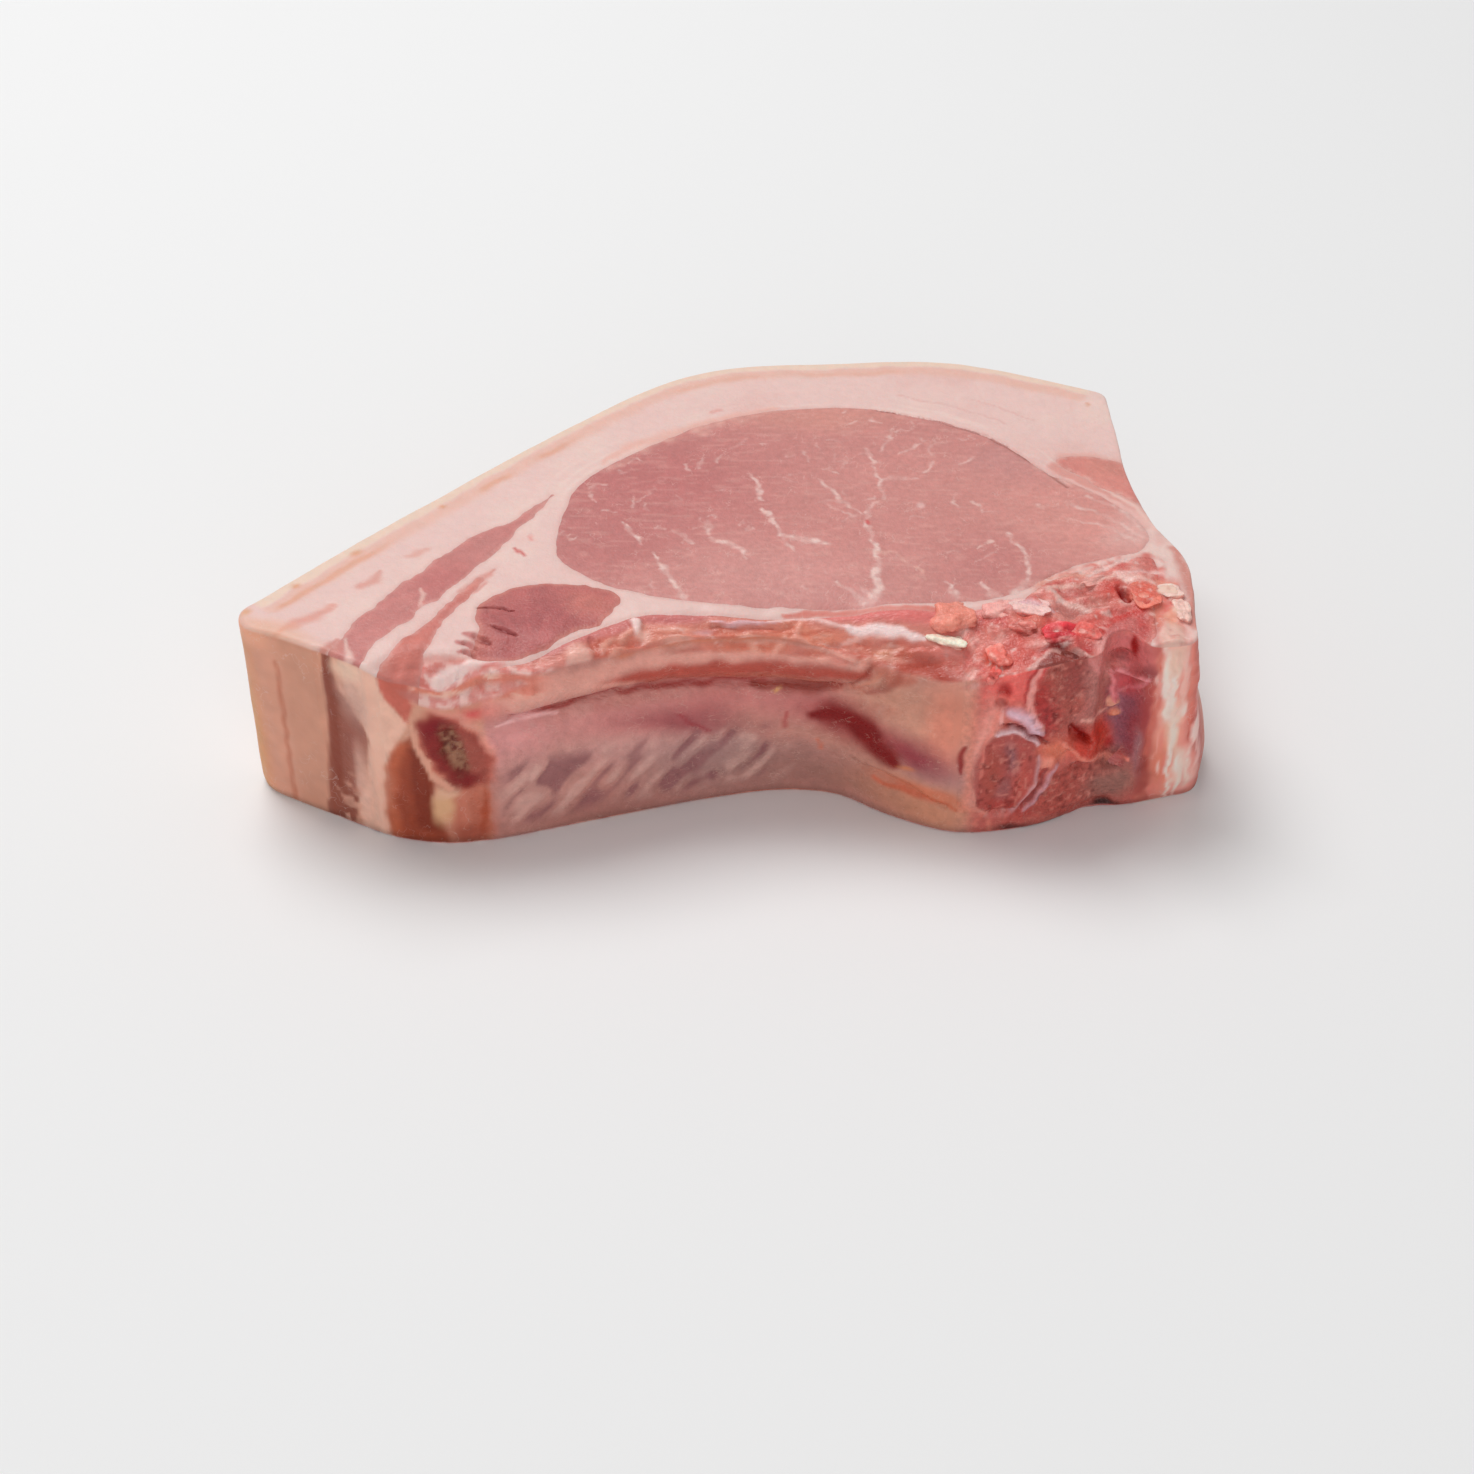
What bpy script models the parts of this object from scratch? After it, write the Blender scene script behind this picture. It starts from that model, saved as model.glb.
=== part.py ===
"""A raw bone-in pork loin chop, cut one rib thick and lying on its sawn side.

The chop is first shaped as one whole body. Upright blades that follow the seams between
its muscles then divide it into the fat, the lean pieces and the meat on the ribs, and
the rib and the backbone are let into it. Sizes are in millimetres, turned into metres
when a mesh is made. +Z is up, the rind is at the back (+Y), the belly end is at the left
(-X) and the backbone is at the front right.
"""

import math

import bmesh
import bpy
from mathutils import Vector, geometry

MM = 0.001

# Driving dimensions.
THICKNESS = 37.0  # height of the top cut over the surface that the chop lies on
GAP = 0.3  # clearance between neighbouring pieces
OUTLINE_STEP = 3.2  # spacing of the points along an outline
TOP_STEP = 6.5  # spacing of the points inside the top cut
KEEP_INSIDE = 1  # the triangulation's mode that drops what is outside the outline
NEAREST = 1e-5  # points nearer than this count as one
SHOULDER_CLEARANCE = 1.2  # least distance from the rim of the points on the front fall
EDGE_ROUND = 0.9  # how far the top and bottom edges draw in
BLADE_REACH = 6.0  # how far a dividing blade passes the top and the bottom
FAR_FRONT = -60.0  # y of the blades' front ends, clear of the chop
SHARPEST_MITRE = 0.25  # keeps a very sharp corner from moving out too far
SHADING_ANGLE = math.radians(40.0)  # edges sharper than this stay crisp

# The middle of the eye muscle swells a little above the level of the cut.
CROWN_RISE = 0.4
CROWN_CENTRE = (20.0, 0.0)
CROWN_SPAN = (30.0, 22.0)

# The chop's sides. A row holds the point on the top edge, the point on the foot and the
# height of the top edge, and a side runs from row to row as a smooth curve.
FRONT_SIDE = [
    ((-59.0, -49.6), (-59.5, -49.0), 36.2),
    ((-51.0, -50.9), (-50.5, -50.9), 30.5),
    ((-41.0, -49.6), (-41.4, -50.0), 31.0),
    ((-29.0, -46.3), (-29.0, -46.3), 34.0),
    ((-16.0, -41.7), (-16.0, -42.3), 34.2),
    ((-5.0, -39.5), (-5.0, -39.0), 33.4),
    ((8.0, -38.9), (8.0, -36.4), 32.4),
    ((18.0, -40.2), (18.0, -37.5), 31.2),
    ((24.0, -41.4), (24.0, -41.7), 31.0),
    ((31.0, -43.0), (30.5, -45.4), 30.6),
    ((38.0, -45.0), (38.0, -48.2), 30.2),
    ((46.0, -46.4), (46.0, -47.6), 33.0),
    ((53.0, -46.2), (53.0, -45.8), 34.8),
    ((61.0, -44.4), (61.5, -41.5), 35.6),
    ((69.0, -43.0), (70.0, -40.2), 35.8),
    ((77.0, -42.0), (81.5, -36.5), 36.0),
]
RIGHT_SIDE = [
    ((77.0, -42.0), (81.5, -36.5), 36.0),
    ((78.3, -26.0), (83.0, -26.0), 36.6),
    ((78.0, -17.0), (82.0, -16.0), 37.0),
    ((74.5, -8.0), (78.0, -7.0), 37.0),
    ((71.6, 8.0), (74.8, 8.0), 37.0),
    ((71.5, 25.0), (73.6, 25.0), 37.0),
    ((70.7, 38.0), (72.6, 37.0), 37.0),
]
RIND_SIDE = [
    ((70.7, 38.0), (72.6, 37.0), 37.0),
    ((52.0, 47.0), (53.0, 46.5), 37.0),
    ((38.0, 50.3), (38.0, 50.1), 37.0),
    ((22.0, 49.7), (22.0, 49.5), 37.0),
    ((-3.0, 47.0), (-3.0, 47.0), 37.0),
    ((-23.0, 34.0), (-23.5, 34.0), 37.0),
    ((-63.0, -9.0), (-64.0, -8.5), 37.0),
    ((-83.3, -33.5), (-84.0, -32.0), 37.0),
]
BELLY_SIDE = [
    ((-83.3, -33.5), (-84.0, -32.0), 37.0),
    ((-82.2, -37.8), (-81.8, -36.2), 37.0),
    ((-75.0, -41.0), (-75.5, -40.2), 37.0),
    ((-67.0, -45.4), (-67.5, -44.6), 37.0),
    ((-59.0, -49.6), (-59.5, -49.0), 36.2),
]

# Levels of the side walls, as shares of the height of the top edge.
WALL_LEVELS = (0.0, 0.03, 0.14, 0.32, 0.5, 0.66, 0.77, 0.88, 0.97, 1.0)

# The fold of the rib lining below the front top edge, and the groove under it.
FOLD_SPAN = (-42.0, 34.0)  # the x range that it runs along
FOLD_FADE = 9.0  # the length over which it dies away at each end
GROOVE_LEVEL = 0.77
GROOVE_WIDTH = 0.08
GROOVE_DEPTH = 1.6

# The outer lean bulges from the right side near its foot.
BULGE_LEVEL = 0.22
BULGE_WIDTH = 0.14
BULGE_OUT = 2.1
BULGE_CENTRE_Y = -27.0
BULGE_SPAN = 12.0

RIND_BELLY = 0.6  # how far the rind swells at half height
FALL_POWER = 1.3  # above 1, the top cut leaves its level gently before it falls
SHORTEST_FALL = 1.0

# Where the level top cut starts to fall towards the front edge, from left to right.
BROW_LINE = [
    (-62.0, -48.5),
    (-56.0, -46.5),
    (-50.0, -45.0),
    (-44.0, -45.3),
    (-38.0, -45.6),
    (-33.0, -44.5),
    (-27.0, -41.0),
    (-21.0, -36.8),
    (-16.0, -34.6),
    (2.0, -34.4),
    (24.0, -32.8),
    (38.0, -32.0),
    (50.0, -29.0),
    (62.0, -23.0),
    (77.0, -20.0),
]

# Seams between the muscles, as seen from above.
EYE_OUTLINE = [
    (-31.0, -10.0),
    (-29.8, -18.5),
    (-21.5, -26.0),
    (-6.0, -31.0),
    (12.0, -31.8),
    (33.0, -31.0),
    (47.0, -28.8),
    (58.0, -20.5),
    (71.0, -15.5),
    (72.4, -8.5),
    (66.0, 1.5),
    (57.0, 9.5),
    (50.0, 19.5),
    (38.0, 28.0),
    (24.0, 32.2),
    (9.0, 31.6),
    (-6.5, 25.8),
    (-20.0, 15.0),
    (-28.0, 5.0),
]
CAP_STREAK_OUTLINE = [
    (-32.0, 3.0),
    (-39.5, -6.5),
    (-45.5, -11.0),
    (-52.0, -19.0),
    (-60.0, -31.0),
    (-64.5, -40.0),
    (-69.0, -50.0),
    (-61.0, -54.0),
    (-60.0, -44.0),
    (-51.5, -31.5),
    (-44.0, -20.0),
    (-37.5, -8.0),
]
BELLY_STREAK_OUTLINE = [
    (-42.6, -23.0),
    (-43.8, -23.4),
    (-46.4, -28.0),
    (-51.5, -37.0),
    (-56.4, -43.5),
    (-59.0, -54.0),
    (-54.0, -56.0),
    (-51.0, -45.0),
    (-48.0, -35.0),
    (-44.2, -27.5),
]
DEEP_MUSCLE_OUTLINE = [
    (-43.0, -32.0),
    (-38.5, -27.0),
    (-28.0, -26.0),
    (-19.5, -28.8),
    (-20.5, -34.5),
    (-31.0, -42.2),
    (-38.5, -45.4),
    (-43.5, -44.2),
    (-42.5, -38.0),
]
EDGE_LEAN_OUTLINE = [
    (58.5, 14.0),
    (60.5, 11.0),
    (64.8, 5.9),
    (70.6, 0.6),
    (75.4, -5.4),
    (80.0, -7.0),
    (81.0, 1.0),
    (76.0, 9.5),
    (69.0, 13.8),
    (62.5, 16.0),
]
RIB_SEAM = [
    (-53.6, -53.0),
    (-47.0, -49.6),
    (-41.0, -47.6),
    (-33.0, -44.6),
    (-27.0, -41.0),
    (-21.0, -36.8),
    (-15.0, -34.4),
    (-6.0, -34.0),
    (2.0, -34.4),
    (13.0, -33.6),
    (24.0, -32.8),
    (38.2, -32.8),
]
CHINE_SEAM = [
    (38.4, -33.0),
    (42.0, -32.4),
    (48.4, -30.6),
    (53.0, -25.6),
    (60.0, -21.6),
    (68.0, -18.4),
    (72.6, -17.4),
    (73.0, -22.0),
    (70.8, -32.0),
    (70.4, -44.0),
]

# The rib's shaft follows the front wall just behind its lining.
RIB_PATH = [
    (-51.5, -58.0, 19.2),
    (-46.0, -50.5, 19.2),
    (-40.5, -45.0, 19.5),
    (-32.0, -40.4, 19.0),
    (-20.0, -37.0, 17.8),
    (-8.0, -33.2, 16.6),
    (5.0, -30.8, 15.4),
    (16.0, -31.8, 14.4),
    (27.0, -36.6, 13.6),
    (37.0, -40.4, 13.2),
    (45.0, -42.0, 13.2),
]
RIB_HALF_THICK = 4.4
RIB_HALF_HIGH = 7.7
RIB_LEAN = math.radians(-24.0)  # the rib's upper edge leans towards the belly end
RIB_SIDES = 16
RIB_STEP = 5.0

# Round parts of the bones, which run in from the sawn front face: centre x and z, half
# sizes across and up, lean, and how far back they reach.
RIB_HEAD = ((46.3, 13.4), (5.7, 9.0), math.radians(10.0), -36.0)
VERTEBRA_BODY = ((56.2, 27.0), (5.9, 7.6), math.radians(-14.0), -29.0)
VERTEBRA_BASE = ((59.6, 6.6), (9.0, 4.8), math.radians(4.0), -29.0)
BONE_SIDES = 24

# The plate of bone behind the spinal canal, and the canal's hollow in the front face.
PLATE_LOW = (53.5, -38.6, 5.0)
PLATE_HIGH = (69.0, -28.6, 31.0)
PLATE_ROUND = 3.0
PLATE_CORNER_STEPS = 4
CANAL_CENTRE = (65.0, -45.0)
CANAL_HALF = (4.0, 7.4)
CANAL_FLOOR = 9.5
CANAL_FLOOR_ROUND = 3.0
CANAL_FLOOR_SHARE = 0.7  # size of the hollow at its floor, against higher up
CANAL_SIDES = 20

# Colour (linear red, green, blue) and roughness of each piece.
FLESH_LOOKS = {
    "back_fat": ((0.83, 0.60, 0.55), 0.42),
    "loin_eye": ((0.58, 0.21, 0.19), 0.38),
    "cap_streak": ((0.52, 0.20, 0.18), 0.40),
    "belly_streak": ((0.58, 0.23, 0.20), 0.40),
    "deep_muscle": ((0.40, 0.13, 0.13), 0.38),
    "edge_lean": ((0.60, 0.22, 0.19), 0.40),
    "rib_meat": ((0.66, 0.32, 0.28), 0.34),
    "chine_meat": ((0.62, 0.20, 0.18), 0.34),
    "rib_bone": ((0.42, 0.14, 0.12), 0.50),
    "chine_bone": ((0.50, 0.20, 0.18), 0.50),
}


def clear_scene():
    for item in list(bpy.data.objects):
        bpy.data.objects.remove(item, do_unlink=True)


def open_curve(knots, step):
    """Points about step apart on a smooth curve from the first knot to the last."""
    found = []
    for i in range(len(knots) - 1):
        around = (knots[max(i - 1, 0)], knots[i], knots[i + 1], knots[min(i + 2, len(knots) - 1)])
        found += curve_span(around, step)
    return found + [knots[-1]]


def closed_curve(points, step):
    """Points about step apart on a smooth closed curve through the given points."""
    knots = [Vector(point) for point in points]
    count = len(knots)
    found = []
    for i in range(count):
        around = (knots[i - 1], knots[i], knots[(i + 1) % count], knots[(i + 2) % count])
        found += curve_span(around, step)
    return found


def curve_span(around, step):
    """The curve from the second of four knots up to the third, which is left out."""
    steps = max(1, round((around[2] - around[1]).to_2d().length / step))
    return [catmull_rom(*around, k / steps) for k in range(steps)]


def catmull_rom(before, here, after, beyond, t):
    pull = after - before
    push = beyond - here
    rise = t * t * (3.0 - 2.0 * t)
    return (
        here * (1.0 - rise)
        + after * rise
        + pull * (0.5 * t * (1.0 - t) ** 2)
        - push * (0.5 * t * t * (1.0 - t))
    )


def height_on_line(points, x):
    """The y of a left-to-right line of points at x, level beyond its ends."""
    if x <= points[0][0]:
        return points[0][1]
    for (x0, y0), (x1, y1) in zip(points, points[1:]):
        if x <= x1:
            return y0 + (y1 - y0) * (x - x0) / (x1 - x0)
    return points[-1][1]


def bell(value, centre, width):
    return math.exp(-(((value - centre) / width) ** 2))


def ease(value, low, high):
    """0 at low, 1 at high, with a smooth rise between them."""
    share = min(1.0, max(0.0, (value - low) / (high - low)))
    return share * share * (3.0 - 2.0 * share)


def outward_steps(outline):
    """For each corner of an anticlockwise outline, the step that moves its edges out by 1."""
    count = len(outline)
    edges = [outline[(i + 1) % count] - outline[i] for i in range(count)]
    normals = [Vector((edge.y, -edge.x)).normalized() for edge in edges]
    steps = []
    for i in range(count):
        both = normals[i - 1] + normals[i]
        steps.append(both / max(1.0 + normals[i - 1].dot(normals[i]), SHARPEST_MITRE))
    return steps


def side_rows(side):
    """A side's rows as (top x, top y, foot x, foot y, top height), smoothly refined."""
    rows = [Vector((*top, *foot, height)) for top, foot, height in side]
    return open_curve(rows, OUTLINE_STEP)[:-1]


def wall_stations():
    """The stations round the chop, anticlockwise from above, each with its side's name."""
    sides = (
        ("front", FRONT_SIDE),
        ("right", RIGHT_SIDE),
        ("rind", RIND_SIDE),
        ("belly", BELLY_SIDE),
    )
    return [(name, row) for name, side in sides for row in side_rows(side)]


def wall_swell(name, x, y, level):
    """How far the wall stands out from the straight line between its foot and its top."""
    swell = 0.0
    if name == "front":
        along = ease(x, FOLD_SPAN[0], FOLD_SPAN[0] + FOLD_FADE)
        along *= 1.0 - ease(x, FOLD_SPAN[1] - FOLD_FADE, FOLD_SPAN[1])
        swell -= GROOVE_DEPTH * along * bell(level, GROOVE_LEVEL, GROOVE_WIDTH)
    if name == "right":
        near = bell(y, BULGE_CENTRE_Y, BULGE_SPAN)
        swell += BULGE_OUT * near * bell(level, BULGE_LEVEL, BULGE_WIDTH)
    if name == "rind":
        swell += RIND_BELLY * math.sin(math.pi * level)
    return swell


def wall_rings():
    """One closed ring of points for each wall level."""
    stations = wall_stations()
    names = [name for name, _ in stations]
    rows = [row for _, row in stations]
    normals = outward_steps([Vector((row[0], row[1])) for row in rows])
    rings = []
    for level in WALL_LEVELS:
        drawn_in = EDGE_ROUND if level in (WALL_LEVELS[0], WALL_LEVELS[-1]) else 0.0
        ring = []
        for name, row, normal in zip(names, rows, normals):
            top = Vector((row[0], row[1]))
            foot = Vector((row[2], row[3]))
            swell = wall_swell(name, row[0], row[1], level) - drawn_in
            place = foot.lerp(top, level) + normal * swell
            ring.append(Vector((place.x, place.y, level * row[4])))
        rings.append(ring)
    return rings


def top_height(x, y, front_edge, front_height):
    """Height of the top cut, level but for the eye's crown and the fall to the front."""
    crown = bell(x, CROWN_CENTRE[0], CROWN_SPAN[0]) * bell(y, CROWN_CENTRE[1], CROWN_SPAN[1])
    level = THICKNESS + CROWN_RISE * crown
    brow = height_on_line(BROW_LINE, x)
    edge = height_on_line(front_edge, x)
    fallen = min(1.0, max(0.0, (brow - y) / max(brow - edge, SHORTEST_FALL)))
    return level + (height_on_line(front_height, x) - level) * fallen**FALL_POWER


def top_cap(ring):
    """Triangles over the top ring, with points spread at TOP_STEP inside it."""
    rows = side_rows(FRONT_SIDE)
    front_edge = [(row[0], row[1] + EDGE_ROUND) for row in rows]
    front_height = [(row[0], row[4]) for row in rows]
    rim = [Vector((point.x, point.y)) for point in ring]
    inner = shoulder_points(front_edge, rim)
    inner += spread_points(rim, inner, TOP_STEP)
    count = len(rim)
    edges = [(i, (i + 1) % count) for i in range(count)]
    found = geometry.delaunay_2d_cdt(rim + inner, edges, [], KEEP_INSIDE, NEAREST)
    inner_3d = []
    for point in inner:
        height = top_height(point.x, point.y, front_edge, front_height)
        inner_3d.append(Vector((point.x, point.y, height)))
    return inner_3d, found[2]


def shoulder_points(front_edge, rim):
    """A row of points halfway down the fall from the brow to the front edge."""
    found = []
    for x, y in front_edge[1:-1]:
        place = Vector((x, 0.5 * (y + height_on_line(BROW_LINE, x))))
        if clearance(place, rim) > SHOULDER_CLEARANCE:
            found.append(place)
    return found


def spread_points(rim, taken, step):
    """Points in offset rows inside a closed outline, kept clear of it and of those taken."""
    low_x = min(point.x for point in rim)
    high_x = max(point.x for point in rim)
    low_y = min(point.y for point in rim)
    high_y = max(point.y for point in rim)
    found = []
    row_step = step * math.sin(math.radians(60.0))
    rows = int((high_y - low_y) / row_step)
    for row in range(1, rows + 1):
        y = low_y + row * row_step
        x = low_x + step * (0.5 if row % 2 else 1.0)
        while x < high_x:
            place = Vector((x, y))
            if inside(place, rim) and clearance(place, rim + taken) > 0.5 * step:
                found.append(place)
            x += step
    return found


def inside(point, outline):
    """Whether the point lies inside the closed outline, by counting crossings."""
    crossings = 0
    for a, b in zip(outline, outline[1:] + outline[:1]):
        if (a.y > point.y) != (b.y > point.y):
            if point.x < a.x + (b.x - a.x) * (point.y - a.y) / (b.y - a.y):
                crossings += 1
    return crossings % 2 == 1


def clearance(point, outline):
    return min((point - other).length for other in outline)


def mesh_object(name, points, faces):
    """A mesh object from points in millimetres, its faces turned outwards."""
    mesh = bpy.data.meshes.new(name)
    mesh.from_pydata([Vector(point) * MM for point in points], [], faces)
    shape = bmesh.new()
    shape.from_mesh(mesh)
    bmesh.ops.recalc_face_normals(shape, faces=shape.faces)
    shape.to_mesh(mesh)
    shape.free()
    mesh.shade_smooth()
    mesh.set_sharp_from_angle(angle=SHADING_ANGLE)
    made = bpy.data.objects.new(name, mesh)
    bpy.context.scene.collection.objects.link(made)
    return made


def walls_and_floor(rings):
    """Points of the rings, and faces for the first ring's cap and the walls between them."""
    count = len(rings[0])
    points = [point for ring in rings for point in ring]
    faces = [tuple(reversed(range(count)))]
    for low in range(0, len(points) - count, count):
        for i in range(count):
            after = (i + 1) % count
            faces.append((low + i, low + after, low + count + after, low + count + i))
    return points, faces


def loft(name, rings):
    """A closed solid through rings of equal length, with a flat cap at each end."""
    points, faces = walls_and_floor(rings)
    faces.append(tuple(range(len(points) - len(rings[-1]), len(points))))
    return mesh_object(name, points, faces)


def make_whole_chop():
    """The whole chop: flat underneath, walls through the rings, a shaped top cut."""
    rings = wall_rings()
    count = len(rings[0])
    points, faces = walls_and_floor(rings)
    inner, triangles = top_cap(rings[-1])
    last = (len(rings) - 1) * count
    points += inner
    faces += [tuple(last + corner for corner in triangle) for triangle in triangles]
    return mesh_object("whole_chop", points, faces)


def blade(name, outline, grown):
    """An upright prism over a closed outline, its walls moved out by grown."""
    normals = outward_steps(outline)
    moved = [point + normal * grown for point, normal in zip(outline, normals)]
    low = [Vector((p.x, p.y, -BLADE_REACH)) for p in moved]
    high = [Vector((p.x, p.y, THICKNESS + BLADE_REACH)) for p in moved]
    return loft(name, [low, high])


def open_seam_outline(seam):
    """A closed outline from a seam and the blade's far front corners."""
    along = open_curve([Vector(point) for point in seam], OUTLINE_STEP)
    right = Vector((seam[-1][0], FAR_FRONT))
    left = Vector((seam[0][0], FAR_FRONT))
    return list(reversed(along)) + [left, right]


def round_bar(name, shape, grown):
    """An oval bar that runs in from the sawn front face."""
    centre, half, lean, back = shape
    rings = []
    for y in (back + grown, FAR_FRONT):
        ring = []
        for i in range(BONE_SIDES):
            turn = math.tau * i / BONE_SIDES
            across = (half[0] + grown) * math.cos(turn)
            up = (half[1] + grown) * math.sin(turn)
            x = centre[0] + across * math.cos(lean) + up * math.sin(lean)
            z = centre[1] + up * math.cos(lean) - across * math.sin(lean)
            ring.append(Vector((x, y, z)))
        rings.append(ring)
    return loft(name, rings)


def rib_shaft(name, grown):
    """The rib's shaft, an oval section carried along its path."""
    path = open_curve([Vector(point) for point in RIB_PATH], RIB_STEP)
    rings = []
    for i, place in enumerate(path):
        along = path[min(i + 1, len(path) - 1)] - path[max(i - 1, 0)]
        sideways = Vector((-along.y, along.x, 0.0)).normalized()
        ring = []
        for k in range(RIB_SIDES):
            turn = math.tau * k / RIB_SIDES
            thick = (RIB_HALF_THICK + grown) * math.cos(turn)
            high = (RIB_HALF_HIGH + grown) * math.sin(turn)
            across = thick * math.cos(RIB_LEAN) - high * math.sin(RIB_LEAN)
            up = high * math.cos(RIB_LEAN) + thick * math.sin(RIB_LEAN)
            ring.append(place + sideways * across + Vector((0.0, 0.0, up)))
        rings.append(ring)
    return loft(name, rings)


def bone_plate(name, grown):
    """The plate behind the spinal canal, a block with rounded upright edges."""
    low = Vector(PLATE_LOW) - Vector((grown, grown, grown))
    high = Vector(PLATE_HIGH) + Vector((grown, grown, grown))
    rings = [rounded_rectangle(low, high, PLATE_ROUND, z) for z in (low.z, high.z)]
    return loft(name, rings)


def rounded_rectangle(low, high, radius, z):
    corners = (
        (high.x - radius, high.y - radius, 0.0),
        (low.x + radius, high.y - radius, 90.0),
        (low.x + radius, low.y + radius, 180.0),
        (high.x - radius, low.y + radius, 270.0),
    )
    ring = []
    for x, y, start in corners:
        for step in range(PLATE_CORNER_STEPS + 1):
            turn = math.radians(start + 90.0 * step / PLATE_CORNER_STEPS)
            across = radius * math.cos(turn)
            along = radius * math.sin(turn)
            ring.append(Vector((x + across, y + along, z)))
    return ring


def canal_cutter():
    """The hollow of the spinal canal, open at the front and the top."""
    rings = []
    for z in (CANAL_FLOOR, CANAL_FLOOR + CANAL_FLOOR_ROUND, THICKNESS + BLADE_REACH):
        share = CANAL_FLOOR_SHARE if z == CANAL_FLOOR else 1.0
        ring = []
        for i in range(CANAL_SIDES):
            turn = math.tau * i / CANAL_SIDES
            x = CANAL_CENTRE[0] + CANAL_HALF[0] * share * math.cos(turn)
            y = CANAL_CENTRE[1] + CANAL_HALF[1] * share * math.sin(turn)
            ring.append(Vector((x, y, z)))
        rings.append(ring)
    return loft("canal_cutter", rings)


def as_guide(item):
    """Keeps a cutter or other helper out of the finished model."""
    item.hide_render = True
    item.display_type = "WIRE"
    return item


def boolean(item, operation, other):
    step = item.modifiers.new(f"{operation.lower()} {other.name}", "BOOLEAN")
    step.operation = operation
    step.solver = "EXACT"
    step.object = other


def flesh_material(name, colour, roughness):
    material = bpy.data.materials.new(name)
    material.use_nodes = True
    shader = material.node_tree.nodes["Principled BSDF"]
    shader.inputs["Base Color"].default_value = (*colour, 1.0)
    shader.inputs["Roughness"].default_value = roughness
    shader.inputs["Metallic"].default_value = 0.0
    material.diffuse_color = (*colour, 1.0)
    return material


def anticlockwise(outline):
    """The closed outline, turned round if it runs clockwise."""
    turned = zip(outline, outline[1:] + outline[:1])
    area = sum(a.x * b.y - b.x * a.y for a, b in turned)
    return outline if area > 0.0 else list(reversed(outline))


def piece_outlines():
    """The closed outline of every piece that a blade cuts out, by name."""
    closed = {
        "loin_eye": closed_curve(EYE_OUTLINE, OUTLINE_STEP),
        "cap_streak": closed_curve(CAP_STREAK_OUTLINE, OUTLINE_STEP),
        "belly_streak": closed_curve(BELLY_STREAK_OUTLINE, OUTLINE_STEP),
        "deep_muscle": closed_curve(DEEP_MUSCLE_OUTLINE, OUTLINE_STEP),
        "edge_lean": closed_curve(EDGE_LEAN_OUTLINE, OUTLINE_STEP),
        "rib_meat": open_seam_outline(RIB_SEAM),
        "chine_meat": open_seam_outline(CHINE_SEAM),
    }
    return {name: anticlockwise(outline) for name, outline in closed.items()}


def make_bone_shapes(grown, suffix):
    """The shapes that the two bones are made of, grown on every side."""
    rib = [
        rib_shaft("rib_shaft" + suffix, grown),
        round_bar("rib_head" + suffix, RIB_HEAD, grown),
    ]
    chine = [
        round_bar("vertebra_body" + suffix, VERTEBRA_BODY, grown),
        round_bar("vertebra_base" + suffix, VERTEBRA_BASE, grown),
        bone_plate("bone_plate" + suffix, grown),
    ]
    return rib, chine


def make_bone(name, shapes, whole):
    """A bone joined from its shapes and trimmed to the chop's outside."""
    bone = shapes[0]
    bone.name = name
    for other in shapes[1:]:
        boolean(bone, "UNION", as_guide(other))
    boolean(bone, "INTERSECT", whole)
    return bone


def make_fat(whole, blades, sockets):
    """The fat: what is left of the whole chop once every other piece is cut out."""
    fat = bpy.data.objects.new("back_fat", whole.data.copy())
    bpy.context.scene.collection.objects.link(fat)
    for cutter in blades + sockets:
        boolean(fat, "DIFFERENCE", cutter)
    return fat


def main():
    clear_scene()
    whole = as_guide(make_whole_chop())
    boolean(whole, "DIFFERENCE", as_guide(canal_cutter()))
    rib_shapes, chine_shapes = make_bone_shapes(0.0, "")
    rib_socket, chine_socket = make_bone_shapes(GAP, "_socket")
    sockets = [as_guide(shape) for shape in rib_socket + chine_socket]
    rib = make_bone("rib_bone", rib_shapes, whole)
    chine = make_bone("chine_bone", chine_shapes, whole)
    blades = []
    for name, outline in piece_outlines().items():
        piece = blade(name, outline, -0.5 * GAP)
        boolean(piece, "INTERSECT", whole)
        for socket in sockets:
            boolean(piece, "DIFFERENCE", socket)
        piece.data.materials.append(flesh_material(name, *FLESH_LOOKS[name]))
        blades.append(as_guide(blade(name + "_blade", outline, 0.5 * GAP)))
    fat = make_fat(whole, blades, sockets)
    for piece in (fat, rib, chine):
        piece.data.materials.append(flesh_material(piece.name, *FLESH_LOOKS[piece.name]))


main()
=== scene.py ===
"""A raw bone-in pork loin chop: the fine surface and the looks.

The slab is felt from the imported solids, given its knife and saw marks, and then divided
along the seams of those solids into fat, lean and bone. Lengths are in millimetres.
"""

import math

import bmesh
import bpy
import numpy as np
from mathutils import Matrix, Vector, kdtree
from mathutils.bvhtree import BVHTree
from mathutils.geometry import delaunay_2d_cdt


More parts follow.
